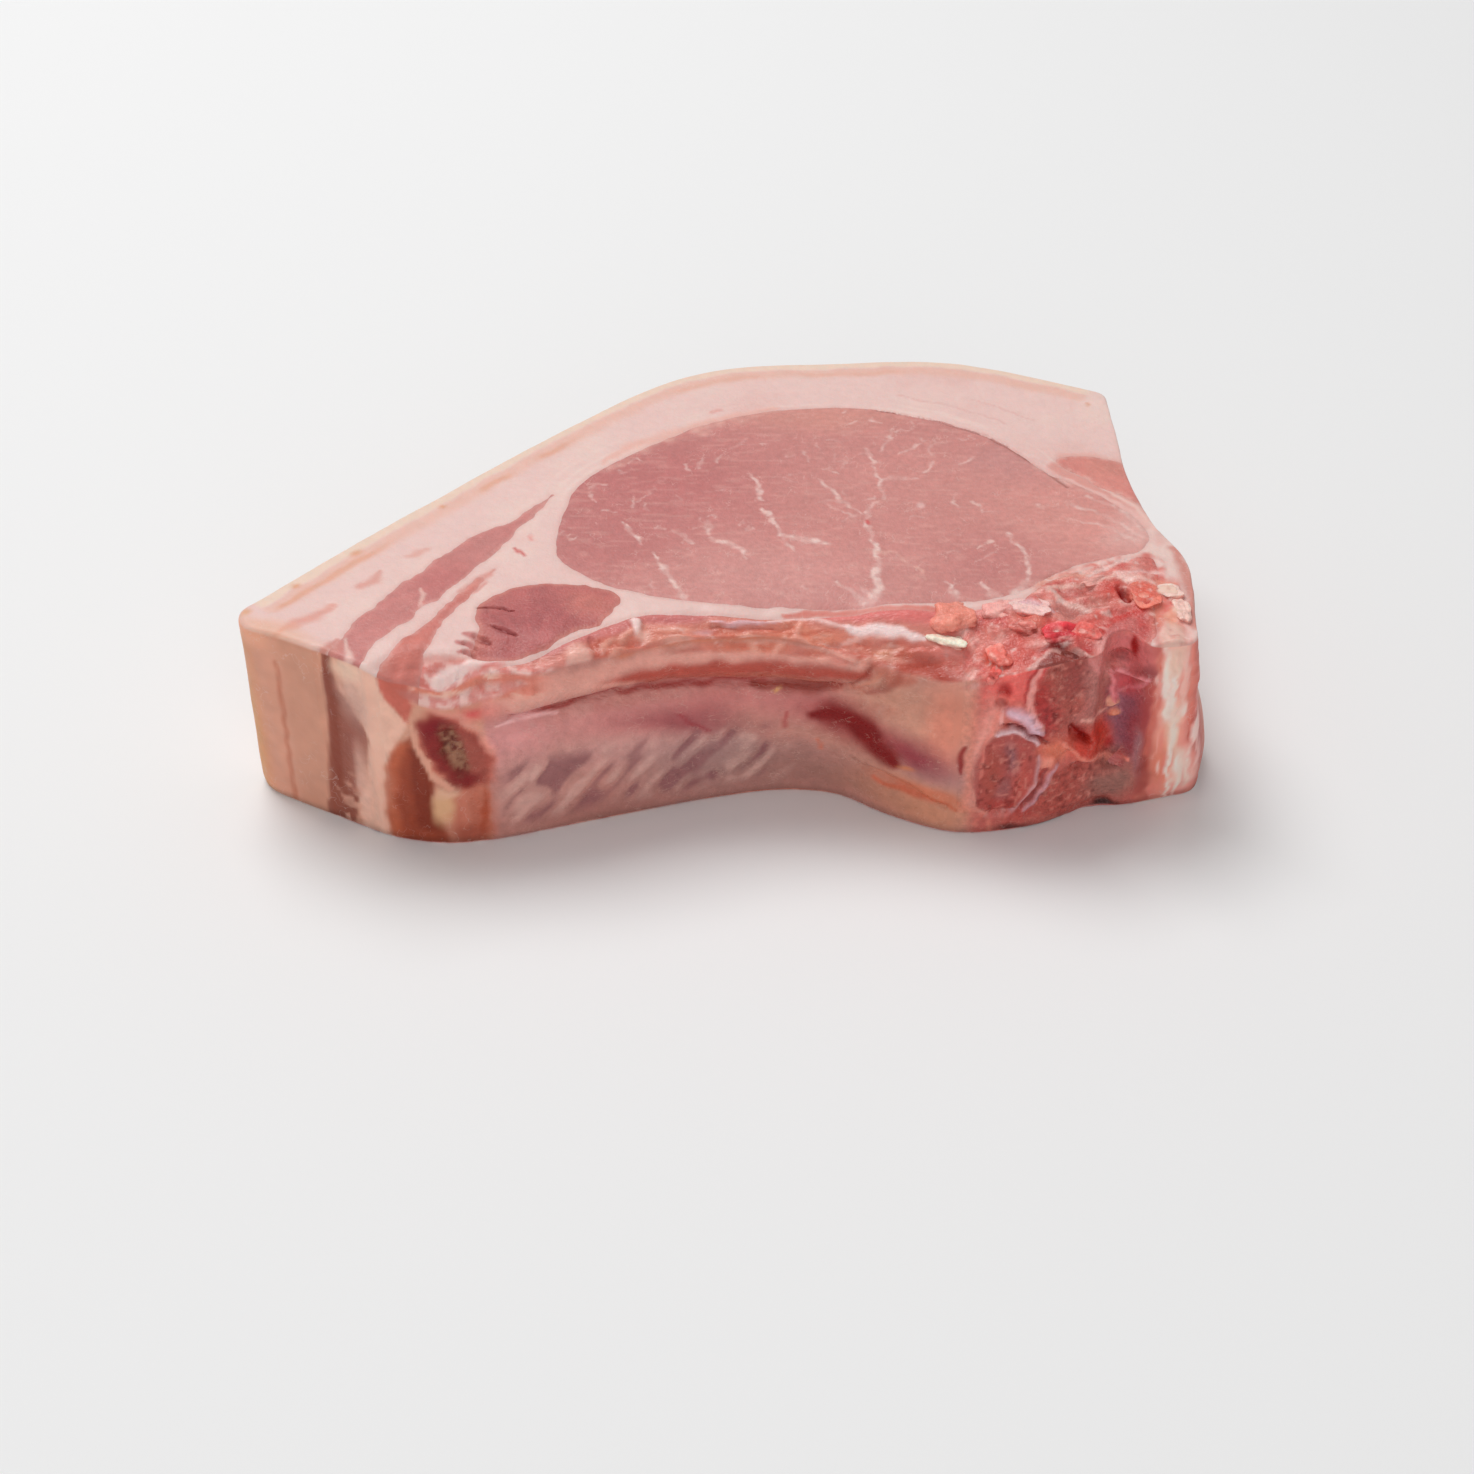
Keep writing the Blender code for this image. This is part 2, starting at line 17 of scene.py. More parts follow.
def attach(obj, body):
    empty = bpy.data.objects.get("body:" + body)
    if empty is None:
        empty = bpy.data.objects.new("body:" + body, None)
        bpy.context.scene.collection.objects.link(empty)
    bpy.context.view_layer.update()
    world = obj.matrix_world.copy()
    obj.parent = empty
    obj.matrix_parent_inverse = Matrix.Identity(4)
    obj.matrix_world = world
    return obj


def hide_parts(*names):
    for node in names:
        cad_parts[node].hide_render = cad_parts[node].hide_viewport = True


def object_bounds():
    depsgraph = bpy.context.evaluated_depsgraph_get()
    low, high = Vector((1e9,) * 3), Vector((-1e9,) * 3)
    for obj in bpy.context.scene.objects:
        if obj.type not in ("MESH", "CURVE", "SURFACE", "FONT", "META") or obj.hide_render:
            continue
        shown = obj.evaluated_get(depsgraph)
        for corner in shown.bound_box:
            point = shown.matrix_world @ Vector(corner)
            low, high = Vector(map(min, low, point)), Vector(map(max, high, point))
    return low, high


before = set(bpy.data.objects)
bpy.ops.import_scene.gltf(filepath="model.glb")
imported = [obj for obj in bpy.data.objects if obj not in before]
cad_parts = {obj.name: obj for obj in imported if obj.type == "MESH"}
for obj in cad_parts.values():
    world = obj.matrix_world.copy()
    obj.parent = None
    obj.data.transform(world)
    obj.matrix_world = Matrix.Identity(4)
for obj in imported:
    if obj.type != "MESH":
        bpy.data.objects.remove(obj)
cad_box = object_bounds()

# --------------------------------------
# The slab. A saw cut it one rib thick across the loin, so it has two flat sides, the
# rind and the belly cut as walls, and a front wall with the lining of the rib cage.
# --------------------------------------
MM = 0.001
STATION = 0.3  # spacing of the stations round the walls
MIDDLE = (0.0, -8.0)  # a point that sees the whole outline
MID_LEVEL = 18.0
BELOW_EDGE = 29.0  # just under the lowest stretch of the top edge
FAR = 130.0  # farther out than any part of the chop
REACH = 12.0  # how far outside a wall its feelers start
TOP = 60.0  # higher than any part of the chop
HEIGHT_STEP = 1.0  # spacing of the grid of felt heights
HEIGHT_MARGIN = 4.0
OUTLINE_FEELERS = 1440
WALL_ROWS = 90
ARC_ROWS = 5  # rows of points round each rounded edge
FOOT_ROUND = 0.8  # the edge at the foot of the walls
KNIFE_ROUND = 0.5  # the top edge where a knife or the saw left it
LINING_ROUND = 1.7  # the top edge over the rib cage, where the lining folds down
BELLY_ROUND = 1.2  # the top edge at the belly cut and the rind, which is soft fat
EYE_GRID = 0.33  # spacing of the points over the loin eye
STRIP_GRID = 0.36
FAT_GRID = 0.62
UNDER_GRID = 0.9
RIM_GAP = 0.3  # how near the rim the top's inner points may come
UNDER_GAP = 0.45


def feel(tree, start, way):
    """The distance at which a straight way from start meets the solids, or nan."""
    found = tree.ray_cast(Vector(start), Vector(way))
    return found[3] if found[0] is not None else math.nan


def solid_tree(nodes):
    """A search tree over all faces of these CAD nodes, in millimetres."""
    points = []
    faces = []
    for node in nodes:
        start = len(points)
        points += [vertex.co / MM for vertex in node.data.vertices]
        node.data.calc_loop_triangles()
        faces += [[start + i for i in face.vertices] for face in node.data.loop_triangles]
    return BVHTree.FromPolygons(points, faces)


def soften_round(values, width, axis=0):
    """Smooths values that run round in a closed loop; width is in steps."""
    turns = np.fft.fftfreq(values.shape[axis])
    keep = np.exp(-2.0 * (math.pi * width * turns) ** 2)
    shape = [1] * values.ndim
    shape[axis] = -1
    return np.fft.ifft(np.fft.fft(values, axis=axis) * keep.reshape(shape), axis=axis).real


def soften(values, width, axis):
    """Smooths values along an axis with loose ends; width is in steps."""
    turned = np.flip(values, axis)
    both = np.concatenate([values, turned], axis)
    return np.take(soften_round(both, width, axis), range(values.shape[axis]), axis)


def drop_gaps(values, reach, axis):
    """Replaces each value by the middle one of its neighbours, which closes narrow gaps."""
    shifted = [np.roll(values, step, axis) for step in range(-reach, reach + 1)]
    return np.nanmedian(shifted, axis=0)


def even_loop(points, step):
    """Points spaced evenly along a closed loop."""
    closed = np.vstack([points, points[:1]])
    lengths = np.hypot(*np.diff(closed, axis=0).T)
    run = np.concatenate([[0.0], np.cumsum(lengths)])
    count = int(run[-1] / step)
    at = np.arange(count) * run[-1] / count
    return np.column_stack([np.interp(at, run, closed[:, k]) for k in range(2)])


def outward(loop):
    """Unit steps out of an anticlockwise loop at each of its points."""
    along = np.roll(loop, -1, 0) - np.roll(loop, 1, 0)
    out = np.column_stack([along[:, 1], -along[:, 0]])
    return out / np.hypot(*out.T)[:, None]


solids = solid_tree(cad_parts.values())


def feel_outline(level):
    """The chop's outline at a level, felt from all round towards the middle."""
    found = []
    for turn in np.linspace(0.0, math.tau, OUTLINE_FEELERS, endpoint=False):
        way = np.array([math.cos(turn), math.sin(turn)])
        start = np.array(MIDDLE) + FAR * way
        gone = feel(solids, (*start, level), (*-way, 0.0))
        found.append(start - way * gone)
    found = np.array(found)
    return found[~np.isnan(found[:, 0])]


def feel_heights():
    """The height of the top cut on an even grid, carried on past its edges."""
    low = np.array(cad_box[0])[:2] / MM - HEIGHT_MARGIN
    high = np.array(cad_box[1])[:2] / MM + HEIGHT_MARGIN
    xs = np.arange(low[0], high[0], HEIGHT_STEP)
    ys = np.arange(low[1], high[1], HEIGHT_STEP)
    grid = np.array([[TOP - feel(solids, (x, y, TOP), (0, 0, -1)) for x in xs] for y in ys])
    grid[grid < BELOW_EDGE] = np.nan
    known = ~np.isnan(grid)
    for axis in (0, 1):
        known &= np.roll(known, 1, axis) & np.roll(known, -1, axis)
    filled = np.where(known, grid, 0.0)
    share = known.astype(float)
    for _ in range(12):
        near = sum(np.roll(share, s, a) for s in (-1, 1) for a in (0, 1))
        total = sum(np.roll(filled * share, s, a) for s in (-1, 1) for a in (0, 1))
        new = (share == 0) & (near > 0)
        filled[new] = total[new] / near[new]
        share[new] = 1.0
    filled[share == 0] = np.nanmedian(grid)
    return low, soften(soften(filled, 1.1, 0), 1.1, 1)


heights_from, heights = feel_heights()


def top_height(spots):
    """The height of the smooth top cut over each spot."""
    at = (spots - heights_from) / HEIGHT_STEP
    rows, columns = heights.shape
    x = np.clip(at[:, 0], 0, columns - 1.001)
    y = np.clip(at[:, 1], 0, rows - 1.001)
    i, j = x.astype(int), y.astype(int)
    u, v = x - i, y - j
    low = heights[j, i] * (1 - u) + heights[j, i + 1] * u
    high = heights[j + 1, i] * (1 - u) + heights[j + 1, i + 1] * u
    return low * (1 - v) + high * v


def ease(values, low, high):
    """0 at low, 1 at high, with a smooth rise between them."""
    share = np.clip((values - low) / (high - low), 0.0, 1.0)
    return share * share * (3.0 - 2.0 * share)


def feel_walls():
    """Rings of points round the walls, foot first."""
    outline = even_loop(feel_outline(MID_LEVEL), STATION)
    base = soften_round(outline, 3.0 / STATION)
    out = outward(base)
    starts = base + REACH * out

    def wall_at(levels):
        gone = [feel(solids, (*s, z), (*-o, 0.0)) for s, o, z in zip(starts, out, levels)]
        return np.array(gone)

    near_top = drop_gaps(wall_at(np.full(len(base), BELOW_EDGE)), 3, 0)
    rim = starts - out * (near_top + 1.5)[:, None]
    edge = soften_round(top_height(rim), 4.0)
    lining = ease(-rim[:, 1], 37.0, 41.0) * ease(rim[:, 0], -52.0, -44.0)
    lining *= 1.0 - ease(rim[:, 0], 34.0, 42.0)
    belly = ease(-rim[:, 0], 46.0, 54.0)
    radius = KNIFE_ROUND + (LINING_ROUND - KNIFE_ROUND) * lining
    radius += (BELLY_ROUND - KNIFE_ROUND) * belly * (1.0 - lining)
    shares = np.linspace(0.0, 1.0, WALL_ROWS)
    levels = FOOT_ROUND + shares[:, None] * (edge - radius - FOOT_ROUND)
    gone = drop_gaps(np.array([wall_at(row) for row in levels]), 3, 1)
    gone = soften(soften_round(gone, 1.2 / STATION, 1), 1.6, 0)
    rows = [starts - out * row[:, None] for row in gone]
    rings = []
    turns = np.linspace(0.0, 0.5 * math.pi, ARC_ROWS + 1)
    for turn in turns[:0:-1]:
        place = rows[0] - out * FOOT_ROUND * (1.0 - math.cos(turn))
        rings.append(np.column_stack([place, np.full(len(out), FOOT_ROUND * (1 - math.sin(turn)))]))
    rings += [np.column_stack([place, z]) for place, z in zip(rows, levels)]
    for turn in turns[1:]:
        place = rows[-1] - out * (radius * (1.0 - math.cos(turn)))[:, None]
        z = levels[-1] + radius * math.sin(turn)
        if turn == turns[-1]:
            z = top_height(place)
        rings.append(np.column_stack([place, z]))
    return np.array(rings)


def spread(low, high, step):
    """Points in offset rows over a rectangle."""
    row_step = step * math.sqrt(0.75)
    found = []
    for row, y in enumerate(np.arange(low[1], high[1], row_step)):
        x = np.arange(low[0] + 0.5 * step * (row % 2), high[0], step)
        found.append(np.column_stack([x, np.full(len(x), y)]))
    return np.vstack(found)


def tree_of(spots):
    """A search tree over flat or solid points."""
    made = kdtree.KDTree(len(spots))
    deep = np.column_stack([spots, np.zeros((len(spots), 3 - spots.shape[1]))])
    for i, spot in enumerate(deep):
        made.insert(spot, i)
    made.balance()
    return made


def gap_to(tree, spots):
    """The distance from each spot to the nearest point of a tree."""
    deep = np.column_stack([spots, np.zeros((len(spots), 3 - spots.shape[1]))])
    return np.array([tree.find(spot)[2] for spot in deep])


def cap_mesh(ring, inner):
    """Triangles over a closed ring with more points spread inside it."""
    count = len(ring)
    edges = [(i, (i + 1) % count) for i in range(count)]
    spots = [Vector(spot) for spot in np.vstack([ring, inner])]
    found = delaunay_2d_cdt(spots, edges, [], 1, 1e-6)
    return np.array(found[2])


def within(spots, loop):
    """Whether each spot lies inside a closed loop, by counting crossings."""
    inside = np.zeros(len(spots), bool)
    x, y = spots.T
    for a, b in zip(loop, np.roll(loop, -1, 0)):
        if a[1] == b[1]:
            continue
        crosses = (a[1] > y) != (b[1] > y)
        inside ^= crosses & (x < a[0] + (b[0] - a[0]) * (y - a[1]) / (b[1] - a[1]))
    return inside


def slab_mesh():
    """The whole slab as one closed mesh, with the run of each of its points."""
    rings = feel_walls()
    keep = station_picks(rings[-1])
    rings = rings[:, keep]
    rim = rings[-1, :, :2]
    foot = rings[0, :, :2]
    inner = []
    for number, step in enumerate((EYE_GRID, STRIP_GRID, FAT_GRID)):
        spots = spread(rim.min(0), rim.max(0), step)
        inner.append(spots[grid_wanted(spots) == number])
    inner = clear_of(np.vstack(inner), rim, RIM_GAP)
    under = clear_of(spread(foot.min(0), foot.max(0), UNDER_GRID), foot, UNDER_GAP)
    count = len(rim)
    rows = len(rings)
    points = [rings.reshape(-1, 3)]
    points.append(np.column_stack([inner, top_height(inner)]))
    points.append(np.column_stack([under, np.zeros(len(under))]))
    points = np.vstack(points)
    starts = np.arange(rows - 1)[:, None] * count
    here = np.arange(count)
    after = (here + 1) % count
    a = (starts + here).ravel()
    b = (starts + after).ravel()
    walls = np.vstack([np.column_stack([a, b, b + count]), np.column_stack([a, b + count, a + count])])
    top = cap_mesh(rim, inner)
    top_at = np.concatenate([(rows - 1) * count + here, rows * count + np.arange(len(inner))])
    floor = cap_mesh(foot, under)
    floor_at = np.concatenate([here, rows * count + len(inner) + np.arange(len(under))])
    faces = np.vstack([walls, top_at[top], floor_at[floor][:, ::-1]])
    stations = np.nonzero(keep)[0] * STATION
    rim_tree = tree_of(rim)
    near = [rim_tree.find((x, y, 0.0))[1:] for x, y in points[rows * count :, :2]]
    run = np.concatenate([np.tile(stations, rows), stations[[at for at, _ in near]]])
    inset = np.concatenate([np.zeros(rows * count), [gap for _, gap in near]])
    return points, faces, run, inset


def station_picks(ring):
    """Which stations are kept: all along the sawn backbone, fewer where the wall is plain."""
    x, y = ring[:, 0], ring[:, 1]
    index = np.arange(len(ring))
    sawn = (y < -30.0) & (x > 38.0) & (x < 74.0)
    front = (y < -30.0) & ~sawn
    return sawn | (front & (index % 2 == 0)) | (index % 3 == 0)


def grid_wanted(spots):
    """0 over the loin eye, 1 over the strip in front of it, and 2 over the plain fat."""
    x, y = spots.T
    eye = ((x - 21.0) / 53.0) ** 2 + (y / 33.5) ** 2 < 1.0
    return np.where(y < -27.0, 1, np.where(eye, 0, 2))


def clear_of(spots, loop, gap):
    """The spots inside a loop that keep this far from it."""
    spots = spots[within(spots, loop)]
    return spots[gap_to(tree_of(loop), spots) > gap]


def plain_mesh(name, points, faces):
    """A mesh from points in millimetres."""
    mesh = bpy.data.meshes.new(name)
    mesh.vertices.add(len(points))
    mesh.vertices.foreach_set("co", (points * MM).astype(np.float32).ravel())
    mesh.loops.add(3 * len(faces))
    mesh.loops.foreach_set("vertex_index", faces.astype(np.int32).ravel())
    mesh.polygons.add(len(faces))
    mesh.polygons.foreach_set("loop_start", np.arange(0, 3 * len(faces), 3, dtype=np.int32))
    mesh.update(calc_edges=True)
    mesh.validate()
    mesh.shade_smooth()
    return mesh


def placed(name, mesh):
    made = bpy.data.objects.new(name, mesh)
    bpy.context.scene.collection.objects.link(made)
    return made


slab_points, slab_faces, slab_run, slab_inset = slab_mesh()
slab = placed("slab", plain_mesh("slab", slab_points, slab_faces))


def store(mesh, name, kind, values):
    """Keeps one value for each point of a mesh as a named attribute."""
    made = mesh.attributes.new(name, kind, "POINT")
    field = {"FLOAT": "value", "FLOAT_VECTOR": "vector", "FLOAT_COLOR": "color"}[kind]
    made.data.foreach_set(field, np.ascontiguousarray(values, np.float32).ravel())


def read(mesh, name, size):
    """The values of a named attribute, one row for each point."""
    field = {1: "value", 3: "vector"}[size]
    values = np.empty(len(mesh.vertices) * size, np.float32)
    mesh.attributes[name].data.foreach_get(field, values)
    return values.reshape(-1, size)


def places_of(mesh):
    """The mesh's points in millimetres."""
    points = np.empty(len(mesh.vertices) * 3, np.float32)
    mesh.vertices.foreach_get("co", points)
    return points.reshape(-1, 3).astype(float) / MM


def normals_of(mesh):
    found = np.empty(len(mesh.vertices) * 3, np.float32)
    mesh.vertex_normals.foreach_get("vector", found)
    return found.reshape(-1, 3)


slab_way = normals_of(slab.data)
store(slab.data, "way_out", "FLOAT_VECTOR", slab_way)

# --------------------------------------
# The seams. Each muscle was parted from its neighbours by a seam that runs straight
# through the slab, so each piece is cut from the slab by an upright blade.
# --------------------------------------
BLADE_LOW = -6.0
BLADE_HIGH = 50.0
SEAM_STEP = 0.45
AT_WALL = 1.3  # a seam this close to a wall runs out through it
PASS_OUT = 7.0  # how far a blade passes the slab's walls
SEAM_GAP = 0.15  # half the gap that the CAD leaves round each muscle
SEAM_WAVER = {"rib_meat": 0.12, "chine_meat": 0.12, "loin_eye": 0.22}
MUSCLE_WAVER = 0.5
SEAM_LEVELS = {  # the height at which each node is sliced for its seam
    "loin_eye": 30.0,
    "cap_streak": 20.0,
    "belly_streak": 20.0,
    "deep_muscle": 30.0,
    "edge_lean": 10.0,
    "rib_meat": 29.3,
    "chine_meat": 1.0,
}


def slice_loop(node, level):
    """The longest closed loop where a level plane cuts a CAD node."""
    shape = bmesh.new()
    shape.from_mesh(node.data)
    bmesh.ops.remove_doubles(shape, verts=shape.verts, dist=1e-6)
    parts = shape.verts[:] + shape.edges[:] + shape.faces[:]
    bmesh.ops.bisect_plane(
        shape,
        geom=parts,
        plane_co=(0.0, 0.0, level * MM),
        plane_no=(0.0, 0.0, 1.0),
        clear_inner=True,
        clear_outer=True,
    )
    left = dict.fromkeys(shape.edges)  # keeps its order, so every run starts at the same edge
    longest = []
    while left:
        edge, _ = left.popitem()
        loop = [edge.verts[0], edge.verts[1]]
        while loop[-1] is not loop[0]:
            onward = [e for e in loop[-1].link_edges if e in left]
            if not onward:
                break
            del left[onward[0]]
            loop.append(onward[0].other_vert(loop[-1]))
        if len(loop) > len(longest):
            longest = loop
    found = np.array([vertex.co[:2] for vertex in longest[:-1]]) / MM
    shape.free()
    area = np.sum(found[:, 0] * np.roll(found[:, 1], -1) - np.roll(found[:, 0], -1) * found[:, 1])
    return found if area > 0 else found[::-1]


def ripple(places, size, seed=0):
    """Smooth noise from -1 to 1 at each place, with lumps about size across."""
    scaled = places / size + 37.7 * seed
    corner = np.floor(scaled).astype(np.int64)
    part = scaled - corner
    part = part * part * (3.0 - 2.0 * part)
    total = np.zeros(len(places))
    for number in range(2 ** places.shape[1]):
        share = np.ones(len(places))
        bits = np.full(len(places), seed, np.int64)
        for axis, prime in zip(range(places.shape[1]), (73856093, 19349663, 83492791)):
            step = number >> axis & 1
            share *= part[:, axis] if step else 1.0 - part[:, axis]
            bits ^= (corner[:, axis] + step) * prime
        bits = (bits ^ (bits >> 13)) * 1274126177
        bits ^= bits >> 16
        total += share * ((bits & 65535) / 32767.5 - 1.0)
    return total


def seam_loop(node, level, waver):
    """The wavering line along a node's seam, grown to the middle of the gap round it."""
    loop = even_loop(slice_loop(node, level), SEAM_STEP)
    loop = soften_round(loop, 0.9 / SEAM_STEP)
    out = outward(loop)
    deep = gap_to(wall_line, loop)
    edge = wall_line_out[[wall_line.find((x, y, 0.0))[1] for x, y in loop]]
    at_wall = (deep < AT_WALL)[:, None]
    step = SEAM_GAP + waver * (ripple(loop, 3.1, 5) + 0.5 * ripple(loop, 1.2, 6))
    return np.where(at_wall, loop + PASS_OUT * edge, loop + out * step[:, None])


def prism(name, loop):
    """An upright closed prism over a loop."""
    count = len(loop)
    points = [(x, y, z) for z in (BLADE_LOW, BLADE_HIGH) for x, y in loop]
    faces = [tuple(reversed(range(count))), tuple(range(count, 2 * count))]
    faces += [(i, (i + 1) % count, count + (i + 1) % count, count + i) for i in range(count)]
    mesh = bpy.data.meshes.new(name)
    mesh.from_pydata([Vector(point) * MM for point in points], [], faces)
    return placed(name, mesh)


def cut(name, base, operation, cutters):
    """The mesh left after each cutter has been used on a base, as a new object."""
    made = placed(name, base.data.copy())
    for cutter in cutters:
        step = made.modifiers.new(cutter.name, "BOOLEAN")
        step.operation = operation
        step.solver = "MANIFOLD"
        step.object = cutter
    graph = bpy.context.evaluated_depsgraph_get()
    graph.update()
    mesh = bpy.data.meshes.new_from_object(made.evaluated_get(graph))
    made.modifiers.clear()
    made.data = mesh
    return made


wall_loop = even_loop(feel_outline(MID_LEVEL), STATION)
wall_line = tree_of(wall_loop)
wall_line_out = outward(soften_round(wall_loop, 4.0))
seams = {
    name: seam_loop(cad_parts[name], level, SEAM_WAVER.get(name, MUSCLE_WAVER))
    for name, level in SEAM_LEVELS.items()
}
blades = {name: prism(name + "_blade", loop) for name, loop in seams.items()}

# --------------------------------------
# The cut faces. Lean draws back from fat along the seams, the thin belly muscles part in
# folds over the ribs, and the saw leaves the backbone rough. All this is worked into the
# slab before it is divided, so that neighbours still meet along their seams.
# --------------------------------------
SEAM_SINK = 0.1
SEAM_WIDTH = 0.5
INSIDE = 0.02  # the least distance kept inside the CAD box


def stroke(spots, line, half, soft=0.5):
    """1 on a line and 0 away from it; half is its half width from end to end."""
    line = np.array(line, float)
    wide = np.interp(np.linspace(0, 1, len(line)), np.linspace(0, 1, len(half)), half)
    cover = np.zeros(len(spots))
    reach = max(half) * (1.0 + soft)
    near = np.all((spots > line.min(0) - reach) & (spots < line.max(0) + reach), axis=1)
    close = spots[near]
    found = np.zeros(len(close))
    for a, b, wide_a, wide_b in zip(line[:-1], line[1:], wide[:-1], wide[1:]):
        way = b - a
        share = np.clip((close - a) @ way / (way @ way), 0.0, 1.0)
        gap = np.hypot(*(close - a - share[:, None] * way).T)
        gap /= wide_a + (wide_b - wide_a) * share
        found = np.maximum(found, 1.0 - ease(gap, 1.0 - soft, 1.0 + soft))
    cover[near] = found
    return cover


def patch(spots, centre, half, lean=0.0, soft=0.35):
    """1 inside an oval and 0 outside it; lean turns it anticlockwise, in degrees."""
    turn = math.radians(lean)
    x, y = (spots - centre).T
    along = (x * math.cos(turn) + y * math.sin(turn)) / half[0]
    across = (y * math.cos(turn) - x * math.sin(turn)) / half[1]
    return 1.0 - ease(np.hypot(along, across), 1.0 - soft, 1.0 + soft)


def grain(places, layers, seed=0):
    """Several sizes of smooth noise together: (size, height) for each layer."""
    return sum(high * ripple(places, size, seed + i) for i, (size, high) in enumerate(layers))


def bent(spots, amount, size, seed=0):
    """The spots moved a little this way and that, to make what is drawn there ragged."""
    return spots + amount * np.column_stack([ripple(spots, size, seed), ripple(spots, size, seed + 9)])


EYE_GROOVE = [(27, 31.6), (35, 29.5), (40, 26.4), (47, 22.4), (51, 17.6), (54, 14.0), (57.5, 9.5), (60, 5)]
DARK_SPLITS = [
    ([(-43.2, -32.4), (-40, -32.2), (-37, -33.2)], (0.15, 0.25, 0.1)),
    ([(-40.4, -37.4), (-38.6, -38.6), (-36.2, -39.8)], (0.1, 0.5, 0.15)),
    ([(-43, -40.3), (-41.6, -41), (-40.6, -42)], (0.4, 0.6, 0.2)),
    ([(-44.4, -42.3), (-42.6, -42.9)], (0.4, 0.25)),
    ([(-44.3, -44.2), (-42.6, -44.7)], (0.35, 0.2)),
]
# A ridge or groove is its line, half widths and height; a blob or heap is its centre, half
# sizes, lean and height.
STRIP_RIDGES = [
    ([(-2, -32.6), (8, -32.6), (16, -32.6), (26, -33.2), (36, -34.2)], (0.3, 1, 1.4, 1.6, 1.8), 0.45),
    ([(-4, -35.4), (3, -35.2), (9, -34.2), (12, -33.7), (19, -35.4)], (0.3, 0.35, 0.4, 0.5), 0.4),
    ([(19, -35.6), (25, -36.2), (31, -37.4)], (0.6, 0.9, 0.4), 0.25),
    ([(-43, -46.2), (-36, -44.6), (-28, -41.8), (-20, -37.8), (-14, -33.9), (-6, -34.2)],
     (0.9, 1.4, 1.1), 0.3),
    ([(-21, -44), (-19, -41), (-17.4, -38)], (0.6, 0.8, 0.5), 0.4),
    ([(2.6, -37.2), (3.6, -38.6), (5.6, -40)], (0.4, 0.6, 0.4), 0.35),
    ([(8.6, -37), (7.4, -38.4), (6.6, -39.6)], (0.4, 0.5, 0.3), 0.35),
    ([(11.6, -35), (10.6, -37), (12.4, -38)], (0.4, 0.6, 0.4), 0.35),
    ([(30, -39.6), (36, -39.4), (41, -41.8), (44, -45)], (0.6, 0.7, 0.8), 0.4),
]
STRIP_GROOVES = [
    ([(-4, -36.1), (2, -36.2), (8, -35.8), (10, -35.2)], (0.35, 0.4, 0.3), 0.5),
    ([(-20, -40.9), (-12, -40), (-4, -39.5), (3, -40.2), (10, -39.2), (18, -38.4)], (0.6, 0.5), 0.5),
    ([(-23.6, -40.6), (-22.8, -43.6), (-24, -46.6)], (0.4, 0.5, 0.4), 0.5),
    ([(21, -38), (27, -38.4), (33, -39)], (0.5, 0.6, 0.3), 0.5),
    ([(28, -42.6), (36, -41.2), (42, -43.6)], (0.8, 1, 0.6), 0.45),
]
STRIP_BLOBS = [
    ((-25.6, -44.4), (2, 2.6), 10, 0.8),
    ((-16.4, -37), (0.9, 1.7), 15, 0.9),
    ((-11, -38.2), (4, 1.5), 8, 0.5),
]
CANAL = ((66.0, -39.0), (4.2, 6.0), -10.0)  # the spinal canal where it meets the top cut
BACKBONE_HEAPS = [
    ((45.5, -32), (2.6, 2), 0, 0.8),
    ((50.5, -31.5), (2.2, 1.7), -30, 1),
    ((49, -38), (2.6, 1.6), 0, -0.5),
    ((50, -35.4), (2.6, 1.5), 15, 0.8),
    ((58.5, -27.4), (3.3, 1.5), 12, -0.7),
    ((56.8, -32.4), (3.6, 1.6), -5, -0.8),
    ((62, -30.6), (2.6, 1.3), 10, -0.6),
    ((63.5, -27.2), (2.2, 2.4), 0, 0.6),
    ((66.4, -28.8), (0.8, 1.8), 10, -1.6),
    ((69.5, -29), (2.3, 3.6), 0, 0.8),
    ((74, -28.2), (1.7, 1.6), 0, 1.1),
    ((75, -33), (1.3, 1.9), 0, 0.8),
    ((72.4, -40), (1.8, 6), -6, 0.6),
    ((55.4, -43.2), (2.2, 1), -20, -1.4),
    ((56.6, -38.4), (4, 2.2), 10, 0.7),
    ((61.4, -33.6), (4.2, 1.3), 25, 0.7),
    ((44, -43), (1.3, 3.4), 20, 0.6),
]


def back_of_torn():
    """Where the torn strip and the backbone meat meet the fat and the eye behind them."""
    spots = np.vstack([seams["rib_meat"], seams["chine_meat"]])
    inside = within(spots, wall_loop) & (gap_to(wall_line, spots) > AT_WALL)
    parting = (abs(spots[:, 0] - 38.3) < 1.5) & (spots[:, 1] < -33.4)
    beside = (spots[:, 0] > 69.5) & (spots[:, 1] < -25.0)
    return spots[inside & ~parting & ~beside]


